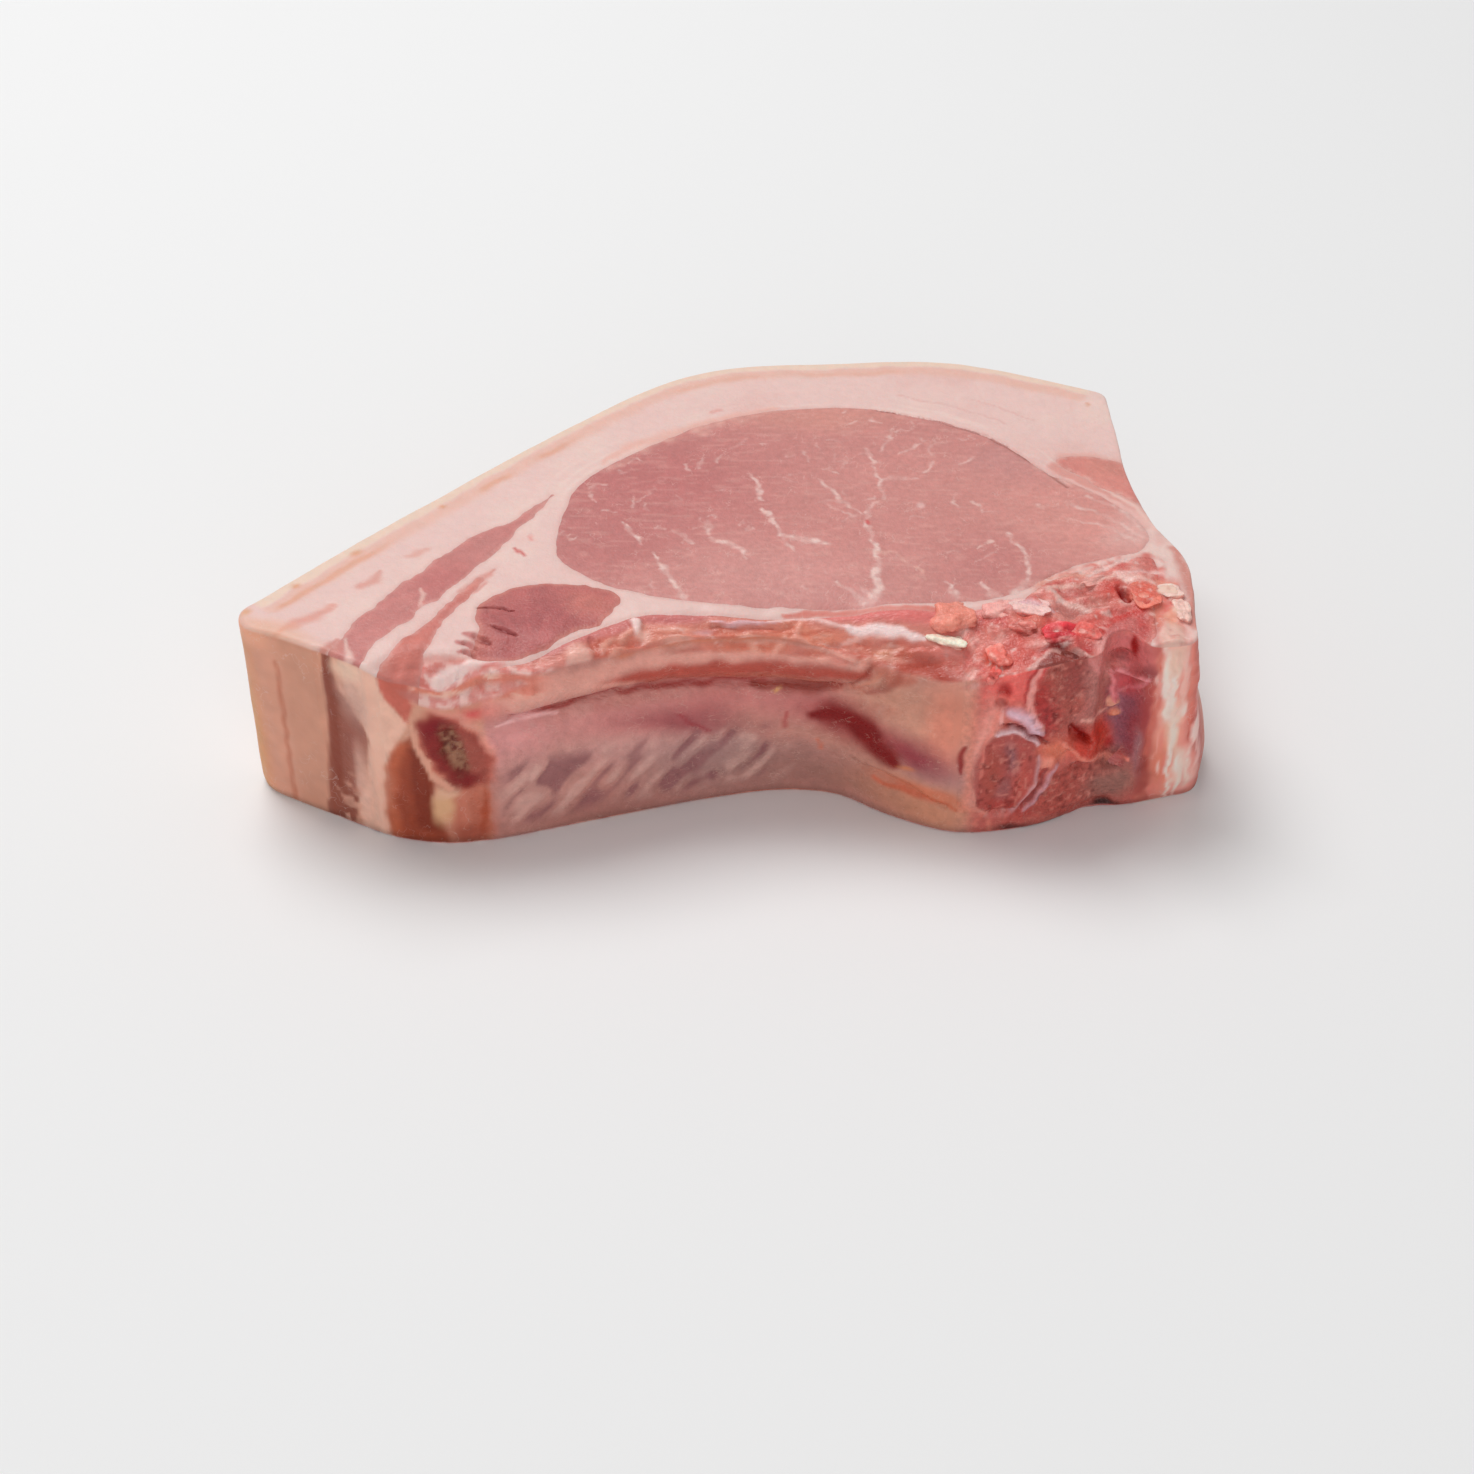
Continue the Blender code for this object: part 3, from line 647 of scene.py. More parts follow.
def beside_heap(spots):
    """How much of the backbone's raggedness each spot of the fat beside it shares."""
    x, y = spots.T
    beside = ease(x, 69.0, 71.0) * ease(-y, 22.0, 26.0) * (1.0 - ease(x, 75.0, 77.0))
    parting = (abs(x - 38.5) < 4.0) & (y < -33.0)
    ragged = 0.5 + ripple(bent(spots, 0.5, 1.2, 18), 1.6, 19)
    close = 1.0 - ease(gap_to(torn_tree, spots), 0.9, 1.9)
    behind = ease(x, 41.0, 47.0) * close * np.clip(ragged, 0.0, 1.0)
    frilled = ease(-y, 44.4, 46.2) * ease(x, -57.0, -54.0) * (1.0 - ease(x, -40.0, -36.0))
    return np.max([beside, parting, behind, frilled], axis=0)


def heap_share(spots):
    """0 over the torn strip and 1 over the backbone, which run into each other."""
    return ease(spots[:, 0] + 1.5 * ripple(spots, 2.6, 15), 34.5, 41.0)


def strip_folds(spots, back):
    """The long folds of the torn strip, from -1 to 1, by the distance from its back edge."""
    return ripple(np.column_stack([spots[:, 0] / 6.0, back / 0.75 + ripple(spots, 4.0, 3)]), 1.0, 8)


def strip_relief(spots):
    """How far the torn strip stands up: folds, ridges, blobs and a lacy outer edge."""
    x, y = spots.T
    back = gap_to(torn_tree, spots)
    ragged = bent(spots, 0.35, 1.7, 6)
    folds = strip_folds(spots, back)
    rise = 0.16 * folds * ease(back, 2.0, 4.0) * ease(x, -30.0, -18.0) * (1.0 - ease(x, 20.0, 28.0))
    frill = ease(-y, 45.2, 47.4) * (1.0 - ease(x, -34.0, -26.0))
    rise += frill * grain(spots, ((1.7, 0.4), (0.9, 0.2)), 31)
    for line, half, high in STRIP_RIDGES:
        rise += high * stroke(ragged, line, half, 0.75)
    for line, half, low in STRIP_GROOVES:
        rise -= low * stroke(ragged, line, half, 0.8)
    for centre, half, lean, high in STRIP_BLOBS:
        rise += high * patch(ragged, centre, half, lean, 0.6)
    return rise * ease(back, 0.0, 0.8)


def heap_relief(spots):
    """How far the meat over the backbone stands up, apart from the smooth spinal canal."""
    ragged = bent(spots, 0.5, 1.9, 7)
    rise = grain(spots, ((4.0, 0.35), (1.9, 0.4), (1.0, 0.16)), 41)
    rise *= 1.0 - 0.85 * patch(spots, *CANAL, 0.3)
    for centre, half, lean, high in BACKBONE_HEAPS:
        rise += high * patch(ragged, centre, half, lean, 0.6)
    return rise * ease(gap_to(torn_tree, spots), 0.0, 0.9)


def top_relief(spots):
    """How far the top cut stands up at each spot."""
    rise = grain(spots, ((16.0, 0.16), (6.0, 0.07), (2.6, 0.03)), 11)
    rise -= SEAM_SINK * np.exp(-((gap_to(seam_tree, spots) / SEAM_WIDTH) ** 2))
    rise -= 0.3 * stroke(bent(spots, 0.3, 1.5, 4), EYE_GROOVE, (0.2, 0.3, 0.5, 0.4), 0.8)
    for line, half in DARK_SPLITS:
        rise -= 0.6 * stroke(bent(spots, 0.3, 1.2, 5), line, half, 0.7)
    held = within(spots, seams["rib_meat"]) | within(spots, seams["chine_meat"])
    share = np.maximum(held, beside_heap(spots))
    torn = share > 0.0
    heap = heap_share(spots[torn])
    rough = strip_relief(spots[torn]) * (1.0 - heap) + heap_relief(spots[torn]) * heap
    rise[torn] += share[torn] * rough
    return rise


CREST_GROOVE = [(-37, 25.8), (-28, 26.3), (-20, 26.6), (-8, 26.0), (4, 25.0), (14, 24.2), (19, 25.4)]
CREST_ROLL = [(-36, 28.4), (-26, 29.4), (-12, 30.2), (2, 29.8), (14, 29.0), (19, 29.6)]
LINING_FOLDS = [
    ([(24.5, 33), (21.5, 28.5), (18, 25)], 0.4),
    ([(27, 33), (24.2, 28), (21, 24.5)], 0.4),
    ([(22.3, 33), (19, 28.5), (15.5, 25.5)], 0.3),
    ([(20, 9.5), (28, 8.2), (36, 5)], 0.6),
    ([(-41, 14), (-41.6, 8), (-41.4, 1)], 0.5),
]
# Each sawn end of a bone is its centre on the wall, half sizes and lean.
RIB_END = ((44.8, 20.2), (4.4, 8.2), 30.0)
MARROW = ((44.5, 20.5), (1.9, 5.0), 14.0)
HEAD_END = ((45.8, 12.4), (5.3, 8.9), -6.0)
DISC_END = ((54.4, 28.2), (4.8, 8.8), -14.0)
BASE_END = ((57.6, 6.4), (6.4, 5.4), 6.0)


def lining_creases(spots, starts, ends):
    """The slanting creases of the lining, from -1 to 1, and how strong they are."""
    x, z = spots.T
    slanted = np.column_stack([(x - 0.9 * z) / 2.3, (x + z) / 7.0]) + 0.3 * ripple(spots, 4.0, 13)[:, None]
    strong = ease(x, *starts) * (1 - ease(x, *ends)) * (1 - ease(z, 14, 18)) * ease(z, 2, 5)
    return ripple(slanted, 1.0, 14), strong


def front_relief(spots):
    """How far the front wall stands out, by place along it and height."""
    wavy = bent(spots, 0.4, 3.0, 12)
    out = grain(spots, ((14.0, 0.35), (5.0, 0.14), (2.2, 0.05)), 51)
    out += 1.0 * stroke(wavy, CREST_ROLL, (1.6, 2.6, 2.8, 2.6), 0.7)
    out -= 0.8 * stroke(wavy, CREST_GROOVE, (0.5, 0.7, 0.8), 0.9)
    out += 0.9 * patch(spots, (31.0, 22.5), (11.0, 8.5), -10.0, 0.6)
    for line, deep in LINING_FOLDS:
        out -= deep * stroke(wavy, line, (0.5, 0.6, 0.4), 0.8)
    crease, creased = lining_creases(spots, (-40, -34), (4, 12))
    return out + 0.3 * crease * creased


def corner_relief(spots, out):
    """The wall at the belly corner with the rib's sawn end and the lacy edge over it."""
    at, z = spots.T
    lacy = ease(z, 29.0, 31.0) * ease(at, 37.0, 41.0) * (1.0 - ease(at, 58.0, 63.0))
    out = out + lacy * grain(spots, ((1.9, 0.4), (0.9, 0.25)), 63)
    end = patch(bent(spots, 0.3, 2.5, 64), *RIB_END, 0.12)
    out = out * (1.0 - end) + end * grain(spots, ((1.5, 0.12),), 61)
    marrow = patch(bent(spots, 0.5, 1.5, 3), *MARROW, 0.35)
    return out + marrow * (-0.7 + grain(spots, ((1.3, 0.4), (0.7, 0.3)), 62))


HEAD_LINES = [
    ([(44.2, 20.8), (46.8, 21.9), (49.2, 21), (51, 18.6)], (0.35, 0.6, 0.4), 0.5),
    ([(45, 22.6), (48, 22.2), (50.6, 20.2), (52.4, 18.8)], (0.25, 0.35), -0.6),
    ([(46.2, 25.8), (49, 24.4), (51.8, 20.6)], (0.8, 1.1, 0.6), 0.35),
    ([(51.2, 14.6), (51, 9.6), (48.4, 5.2)], (0.3, 0.4, 0.3), 0.3),
    ([(52.8, 13.2), (51.6, 8.8), (49, 4.8)], (0.25, 0.35, 0.25), -0.5),
    ([(54.6, 13.2), (52.8, 8.6), (50.2, 4.4)], (0.35, 0.4, 0.3), 0.3),
    ([(56.6, 21.2), (58, 18.6), (60.6, 16.6)], (0.4, 0.8, 0.3), -1.3),
    ([(56.2, 18), (58.8, 14), (62, 11.6), (65, 10.4), (68, 10.9)], (0.4, 0.5, 0.4), 0.5),
    ([(63.6, 28.4), (64.2, 24.6), (64.8, 22)], (0.4, 0.6, 0.5), 0.6),
    ([(63.6, 28.4), (66.6, 27.9), (69.6, 28.6)], (0.4, 0.4, 0.3), 0.6),
    ([(71.2, 34), (71.4, 22), (70.4, 8)], (0.4, 0.4), -0.5),
    ([(73.6, 34), (74.6, 22), (74.4, 10)], (0.5, 0.6), 0.5),
    ([(76.5, 35), (77.2, 24), (78.4, 14)], (0.4, 0.5, 0.4), -0.5),
]
HEAD_LUMPS = [
    ((53.4, 14.6), (1.6, 1.6), 0, 0.7),
    ((54.8, 17.4), (2, 1.7), 0, 0.7),
    ((60.6, 14.6), (2.6, 2.2), -35, 0.6),
    ((64.4, 21.6), (0.9, 0.9), 0, 1),
    ((64.8, 19.2), (1, 0.7), 0, 0.9),
    ((46, 31.4), (2.8, 2), 20, 0.8),
    ((44.6, 28.4), (0.9, 2.4), 0, -0.8),
    ((74.6, 8), (2.6, 5.5), 10, 0.8),
    ((77, 4.6), (3, 2.6), 0, 0.7),
    ((64, 0.8), (2.4, 1.2), 0, -0.9),
]


def chine_relief(spots):
    """How far the sawn backbone stands out, by place across it and height."""
    ragged = bent(spots, 0.35, 1.6, 17)
    out = grain(spots, ((5.0, 0.25), (2.0, 0.16), (1.0, 0.07)), 71)
    for end in (HEAD_END, DISC_END, BASE_END):
        share = patch(ragged, *end, 0.1)
        pits = np.clip(grain(spots, ((1.1, 0.22), (0.75, 0.2)), 72), -0.45, 0.05)
        out = out * (1.0 - share) + share * (0.2 * patch(spots, *end, 0.9) + pits)
    for line, half, high in HEAD_LINES:
        out += high * stroke(ragged, line, half, 0.7)
    for centre, half, lean, high in HEAD_LUMPS:
        out += high * patch(ragged, centre, half, lean, 0.6)
    return out


LEAN_LAYERS = ((10.0, 12.2, 0.12), (20.0, 29.5, 0.3), (31.0, 41.5, 0.2))  # from, to and how far sunk


def belly_relief(spots):
    """How far the belly cut stands out, by distance from the rind and height."""
    out = grain(spots, ((12.0, 0.25), (4.0, 0.08)), 81)
    for low, high, sink in LEAN_LAYERS:
        band = ease(spots[:, 0], low - 0.5, low + 0.5) * (1 - ease(spots[:, 0], high - 0.5, high + 0.5))
        out -= sink * band
    rough = ease(spots[:, 0], 20, 22) * (1 - ease(spots[:, 1], 8, 20)) * (1 - ease(spots[:, 0], 46, 50))
    return out + rough * grain(spots, ((1.8, 0.16), (0.9, 0.1)), 82)


BELLY_CORNER = (-83.8, -31.8)  # where the rind meets the belly cut
RIB_CORNER = (-41.4, -50.0)  # where the belly cut meets the rib cage
LOIN_CORNER = (70.0, 39.0)  # where the spine-end side meets the rind
SPINE_CORNER = (82.0, -30.0)  # where the sawn backbone meets the spine-end side
BACKBONE_X = (39.0, 42.0)  # the lining ends and the sawn backbone begins between these


def run_of(place):
    return wall_line.find((*place, 0.0))[1] * STATION


belly_start = run_of(BELLY_CORNER)
belly_end = run_of(RIB_CORNER)
rind_start = run_of(LOIN_CORNER)
back_start = run_of(SPINE_CORNER)
LEAN_SEAMS = ("loin_eye", "cap_streak", "belly_streak", "deep_muscle", "edge_lean")
torn_back = back_of_torn()
torn_tree = tree_of(torn_back)
seam_tree = tree_of(np.vstack([torn_back, *(seams[name] for name in LEAN_SEAMS)]))


def face_shares(places, run):
    """How much each point belongs to the rind, belly cut, front, backbone and spine side."""
    belly = ease(run, belly_start - 4.0, belly_start + 1.0)
    front = ease(run, belly_end - 0.6, belly_end + 0.6)
    chine = ease(places[:, 0], *BACKBONE_X)
    side = ease(run, back_start - 4.0, back_start + 3.0)
    loin_side = 1.0 - ease(run, rind_start - 0.8, rind_start + 0.8)
    rind = (1.0 - belly) * (1.0 - loin_side)
    backbone = front * chine * (1 - side)
    return rind, belly * (1 - front), front * (1 - chine), backbone, np.maximum(side, loin_side)


def work_faces():
    """The slab's points with all the relief of its faces worked in."""
    rind, belly, front, chine, side = face_shares(slab_points, slab_run)
    up = np.clip(slab_way[:, 2], 0.0, 1.0) ** 2
    wall = np.clip(1.0 - slab_way[:, 2] ** 2, 0.0, 1.0)
    z = slab_points[:, 2]
    upright = slab_points[:, [0, 2]]
    across = np.column_stack([slab_run - belly_start, z])
    relief = front * front_relief(upright) + belly * belly_relief(across)
    relief = corner_relief(across, relief) + chine * chine_relief(upright)
    relief += (rind + side) * grain(np.column_stack([slab_run, z]), ((11.0, 0.2), (3.5, 0.08)), 91)
    move = wall * relief * ease(z, 0.0, 1.5)
    top = up > 0.02
    move[top] += up[top] * top_relief(slab_points[top, :2])
    found = slab_points + slab_way * move[:, None]
    return np.clip(found, np.array(cad_box[0]) / MM + INSIDE, np.array(cad_box[1]) / MM - INSIDE)


slab_worked = work_faces()
slab.data.vertices.foreach_set("co", (slab_worked * MM).astype(np.float32).ravel())
slab.data.update()
store(slab.data, "run", "FLOAT", slab_run)
store(slab.data, "inset", "FLOAT", slab_inset)
slab_tree = tree_of(slab_worked)

# --------------------------------------
# The loin eye: the long back muscle, cut straight across its grain, so that its face is
# moist, pink and finely grained, with pale threads of marbling. It fills its own seam.
# --------------------------------------
SHEEN = 0.012  # the light that a wet face throws back whatever its colour


def shade(red, green, blue):
    """A colour in 0-255 steps as the linear numbers that make it under full light."""
    steps = np.array([red, green, blue]) / 255.0
    linear = np.where(steps <= 0.04045, steps / 12.92, ((steps + 0.055) / 1.055) ** 2.4)
    return np.maximum(linear - SHEEN, 0.002)


def flat(spots, *tone):
    """The same colour at every spot."""
    return np.tile(shade(*tone), (len(spots), 1))


def mixed(colour, tone, share):
    """The colours moved towards a tone by each point's share."""
    return colour + (tone - colour) * np.clip(share, 0.0, 1.0)[:, None]


def draw_lines(colour, spots, lines):
    """Colours with each line drawn over them: points, half widths, softness, tone, share."""
    for line, half, soft, tone, share in lines:
        colour = mixed(colour, shade(*tone), share * stroke(spots, line, half, soft))
    return colour


def draw_patches(colour, spots, patches):
    """Colours with each oval drawn over them: centre, halves, lean, softness, tone, share."""
    for centre, half, lean, soft, tone, share in patches:
        colour = mixed(colour, shade(*tone), share * patch(spots, centre, half, lean, soft))
    return colour


def facing(mesh):
    """Each point's place, outward way, run along the wall and distance from the rim."""
    places = places_of(mesh)
    way = read(mesh, "way_out", 3)
    run = read(mesh, "run", 1)[:, 0]
    inset = read(mesh, "inset", 1)[:, 0]
    new = np.nonzero(np.linalg.norm(way, axis=1) < 0.5)[0]
    near = [slab_tree.find(places[i])[1] for i in new]
    way[new] = slab_way[near]
    run[new] = slab_run[near]
    inset[new] = slab_inset[near]
    return places, way, run, inset


VEIN = (238, 203, 195)
EYE_VEINS = [
    ([(-20, -6.5), (-18.5, -9), (-17, -10.6), (-16.2, -13.6)], (0.2, 0.42, 0.3), 0.7, VEIN, 0.9),
    ([(-14.2, -16.3), (-12.7, -19), (-11.8, -22), (-10.5, -24.2), (-9.8, -26.6), (-8.6, -29.6)],
     (0.25, 0.4, 0.55, 0.4, 0.6), 0.7, VEIN, 0.95),
    ([(3, 9.2), (4, 6), (4.5, 3), (4.9, 0)], (0.25, 0.35, 0.25), 0.7, VEIN, 0.8),
    ([(5.1, -2.6), (6.5, -6), (7.8, -8.6), (8.5, -11)], (0.35, 0.35, 0.45), 0.7, VEIN, 0.9),
    ([(8.5, -11), (10.8, -12.1), (13, -12.9), (15, -13.2), (17, -14.3)],
     (0.45, 0.8, 0.9, 0.4), 0.7, VEIN, 0.95),
    ([(15, 7), (16.5, 5), (18, 2.6), (18.8, 0), (20.5, -2), (22.6, -4.4)],
     (0.25, 0.4, 0.4, 0.25), 0.7, VEIN, 0.85),
    ([(18.6, -0.3), (16.5, -0.4), (14.2, -1.4)], (0.3, 0.5, 0.2), 0.8, VEIN, 0.45),
    ([(25.4, 16), (25.7, 12), (25.9, 9), (26.3, 6), (26.7, 3), (27, 0.4)], (0.22, 0.3, 0.35), 0.7, VEIN, 0.8),
    ([(26.2, 6.9), (28.5, 7.6), (31, 7.7), (33, 7.4)], (0.3, 0.7, 0.6, 0.3), 0.8, VEIN, 0.5),
    ([(25.6, -0.6), (24, -3), (23.5, -5.6), (23.4, -8.2), (24.2, -11), (24.5, -14)],
     (0.35, 0.4, 0.35, 0.5), 0.7, VEIN, 0.9),
    ([(24.5, -14), (24.7, -17), (24.9, -20), (24.1, -24), (24.6, -27), (23.8, -30.6)],
     (0.5, 0.6, 0.5, 0.7, 0.8), 0.7, VEIN, 0.95),
    ([(24.9, -16.4), (28, -17), (30, -19.4), (32, -22), (33, -24.6)],
     (0.4, 0.35, 0.2), 0.8, (226, 172, 160), 0.8),
    ([(48, -10.4), (48.5, -12.6), (50, -14.5), (50.5, -18), (50.6, -21), (50.2, -24.4)],
     (0.35, 0.35, 0.3, 0.4), 0.7, VEIN, 0.85),
    ([(50.2, -24.4), (49.4, -27), (47.4, -29.2)], (0.5, 1, 0.6), 0.8, VEIN, 0.9),
    ([(-10.6, -9.4), (-8.6, -11.5), (-7.2, -13)], (0.25, 0.35, 0.3), 0.7, VEIN, 0.7),
    ([(-4.6, -6.4), (-4.4, -9), (-4.6, -11)], (0.25, 0.5, 0.3), 0.9, VEIN, 0.65),
    ([(-4.3, -12), (-2.4, -13.1), (-0.5, -14.2), (1.3, -15.6), (2.1, -18.2)],
     (0.35, 0.6, 0.45, 0.25), 0.7, VEIN, 0.85),
    ([(17.2, -25), (19.8, -27.6), (22.4, -30.8)], (0.25, 0.5, 0.7), 0.8, VEIN, 0.8),
    ([(22, -27), (23.6, -30.4)], (0.3, 0.6), 0.8, VEIN, 0.8),
    ([(36.8, -26), (37.6, -29.6)], (0.25, 0.7), 0.8, VEIN, 0.8),
    ([(42, -25.6), (44.4, -29.4)], (0.25, 0.8), 0.8, VEIN, 0.75),
    ([(42.6, -14.9), (45, -12.6)], (0.22, 0.25), 0.7, (238, 200, 190), 0.85),
    ([(29.6, 25), (28.9, 21), (27.6, 18.4), (27, 16.6)], (0.25, 0.35, 0.3), 0.8, VEIN, 0.6),
    ([(24, 17.6), (25.4, 14.6)], (0.4, 0.3), 0.8, VEIN, 0.6),
    ([(34.6, 19.4), (32, 17.2), (30, 15.4)], (0.3, 0.35, 0.2), 0.8, VEIN, 0.6),
    ([(36.6, 13), (35, 10)], (0.3, 0.35), 0.7, VEIN, 0.6),
    ([(43.6, 14.6), (40.8, 11.8)], (0.3, 0.2), 0.8, VEIN, 0.5),
    ([(13, 16.2), (13.6, 13)], (0.35, 0.2), 0.8, VEIN, 0.5),
    ([(-18.2, 1.2), (-17.9, -2.2)], (0.3, 0.2), 0.8, VEIN, 0.55),
    ([(-14.4, 5), (-15.4, 2), (-17.4, -0.4)], (0.25, 0.2), 0.8, VEIN, 0.4),
    ([(-6, 14.2), (-6.4, 10.6)], (0.3, 0.3), 0.8, VEIN, 0.4),
    ([(60, -1), (66, -4.6), (71.4, -12)], (0.3, 0.4, 0.5), 0.8, VEIN, 0.6),
    ([(63, 2), (68.6, -2.4), (72, -9)], (0.3, 0.4, 0.5), 0.8, VEIN, 0.6),
    ([(58, -5), (65.6, -8.4), (71, -13.4)], (0.25, 0.3, 0.5), 0.8, VEIN, 0.5),
    ([(55.4, 12.4), (58.4, 7.4), (63, 4.2), (68, 1.4)], (0.9, 0.8, 0.7, 0.8), 0.9, (226, 178, 168), 0.6),
]
EYE_FIELDS = [
    ((-16, 6), (20, 18), 30, 0.9, (193, 117, 115), 0.85),
    ((-24, -12), (9, 14), 20, 0.9, (194, 121, 118), 0.7),
    ((8, -23), (17, 8), 0, 0.9, (216, 154, 148), 0.7),
    ((62, -5), (16, 13), -30, 0.9, (222, 154, 145), 0.8),
    ((72, -7), (4.5, 8), -20, 0.9, (233, 188, 180), 0.75),
    ((44, -22), (8, 7), 0, 0.9, (203, 131, 127), 0.7),
    ((36, 4), (13, 12), 0, 0.9, (212, 146, 139), 0.6),
    ((14, 30), (16, 4.5), 0, 0.9, (214, 149, 137), 0.7),
    ((51, 14), (6, 7), -50, 0.9, (203, 145, 141), 0.6),
]
EYE_FLECKS = [
    ((33.2, -1.8), (0.7, 0.9), 0, 0.5, (232, 188, 182), 0.8),
    ((23.5, -7.2), (0.4, 0.9), 10, 0.5, (206, 84, 84), 0.8),
]
EYE_PALE_DASHES = 90  # fine short pale dashes scattered between the veins: partly threads of fat, partly painted glints
DASH_FROM = (-32, -28)  # and the corners of the field they start in
DASH_TO = (60, 34)
SMEAR_LINE = [(-24, 11), (-19.6, 17.6), (-11, 23.0), (-1, 28.2), (8, 31.6)]


def eye_paint(spots):
    """The colours of the eye's cut face."""
    colour = flat(spots, 207, 140, 134)
    colour = draw_patches(colour, bent(spots, 3.0, 9.0, 21), EYE_FIELDS)
    colour *= 1.0 + 0.05 * grain(spots, ((7.0, 0.6), (3.0, 0.5), (1.4, 0.5)), 22)[:, None]
    smear = stroke(bent(spots, 1.2, 2.5, 23), SMEAR_LINE, (1.0, 2.4, 2.3, 1.8, 0.8), 0.9)
    colour = mixed(colour, shade(230, 176, 164), smear * (0.42 + 0.4 * ripple(spots, 1.5, 24)))
    fine = bent(bent(spots, 0.45, 1.5, 25), 0.2, 0.6, 27)
    chance = np.random.default_rng(33)
    veined = draw_lines(colour, fine, EYE_VEINS)
    # painted glints mixed with threads of fat: short pale dashes at random
    for _ in range(EYE_PALE_DASHES):
        start = chance.uniform(DASH_FROM, DASH_TO)
        steps = chance.uniform(-1.0, 1.0, (2, 2)) * (1.4, 1.8) + chance.uniform(-1.0, 1.0, 2)
        pale_dash = [start, start + steps[0], start + steps.sum(0)]
        share = chance.uniform(0.2, 0.7)
        veined = mixed(veined, shade(*VEIN), share * stroke(fine, pale_dash, (0.22, 0.3, 0.15), 0.8))
    broken = 0.35 + 0.65 * ease(ripple(spots, 1.5, 28) + 0.6 * ripple(spots, 0.8, 29), -0.4, 0.5)
    colour = colour + (veined - colour) * broken[:, None]
    colour = draw_patches(colour, spots, EYE_FLECKS)
    # painted shadow: a dark line along the groove where the eye meets the fat
    groove_shade = stroke(bent(spots, 0.25, 1.5, 4), EYE_GROOVE, (0.2, 0.3, 0.45, 0.4), 0.8)
    hairs = ripple(np.column_stack([spots[:, 0] / 2.6, spots[:, 1] / 0.7]), 1.0, 30)
    colour = mixed(colour, shade(226, 170, 160), 0.25 * ease(hairs, 0.2, 0.8))
    return mixed(colour, shade(172, 112, 104), 0.8 * groove_shade)


def object_places(tree):
    """The node that gives each point's own place on the meat."""
    return tree.nodes.new("ShaderNodeTexCoord").outputs["Object"]


def noise(tree, places, size, detail, stretch=(1.0, 1.0, 1.0)):
    """Noise with lumps this many millimetres across."""
    if stretch != (1.0, 1.0, 1.0):
        turned = tree.nodes.new("ShaderNodeMapping")
        turned.inputs["Scale"].default_value = stretch
        tree.links.new(places, turned.inputs["Vector"])
        places = turned.outputs["Vector"]
    made = tree.nodes.new("ShaderNodeTexNoise")
    made.inputs["Scale"].default_value = 1.0 / (size * MM)
    made.inputs["Detail"].default_value = detail
    tree.links.new(places, made.inputs["Vector"])
    return made.outputs["Fac"]


def ranged(tree, value, low, high, to_low, to_high):
    """The value moved from one range to another, and held inside it."""
    made = tree.nodes.new("ShaderNodeMapRange")
    for name, number in zip(("From Min", "From Max", "To Min", "To Max"), (low, high, to_low, to_high)):
        made.inputs[name].default_value = number
    tree.links.new(value, made.inputs["Value"])
    return made.outputs["Result"]


def worked(tree, operation, *values):
    """The result of a Math node over its values, each one a socket or a plain number."""
    made = tree.nodes.new("ShaderNodeMath")
    made.operation = operation
    for value, end in zip(values, made.inputs):
        if isinstance(value, float):
            end.default_value = value
        else:
            tree.links.new(value, end)
    return made.outputs[0]


def kept(tree, name, output):
    """A value that was kept on the mesh by name."""
    made = tree.nodes.new("ShaderNodeAttribute")
    made.attribute_name = name
    return made.outputs[output]


def sockets(ends):
    """The colour sockets of a Mix node, which share their names with its number sockets."""
    return [socket for socket in ends if socket.type == "RGBA"]


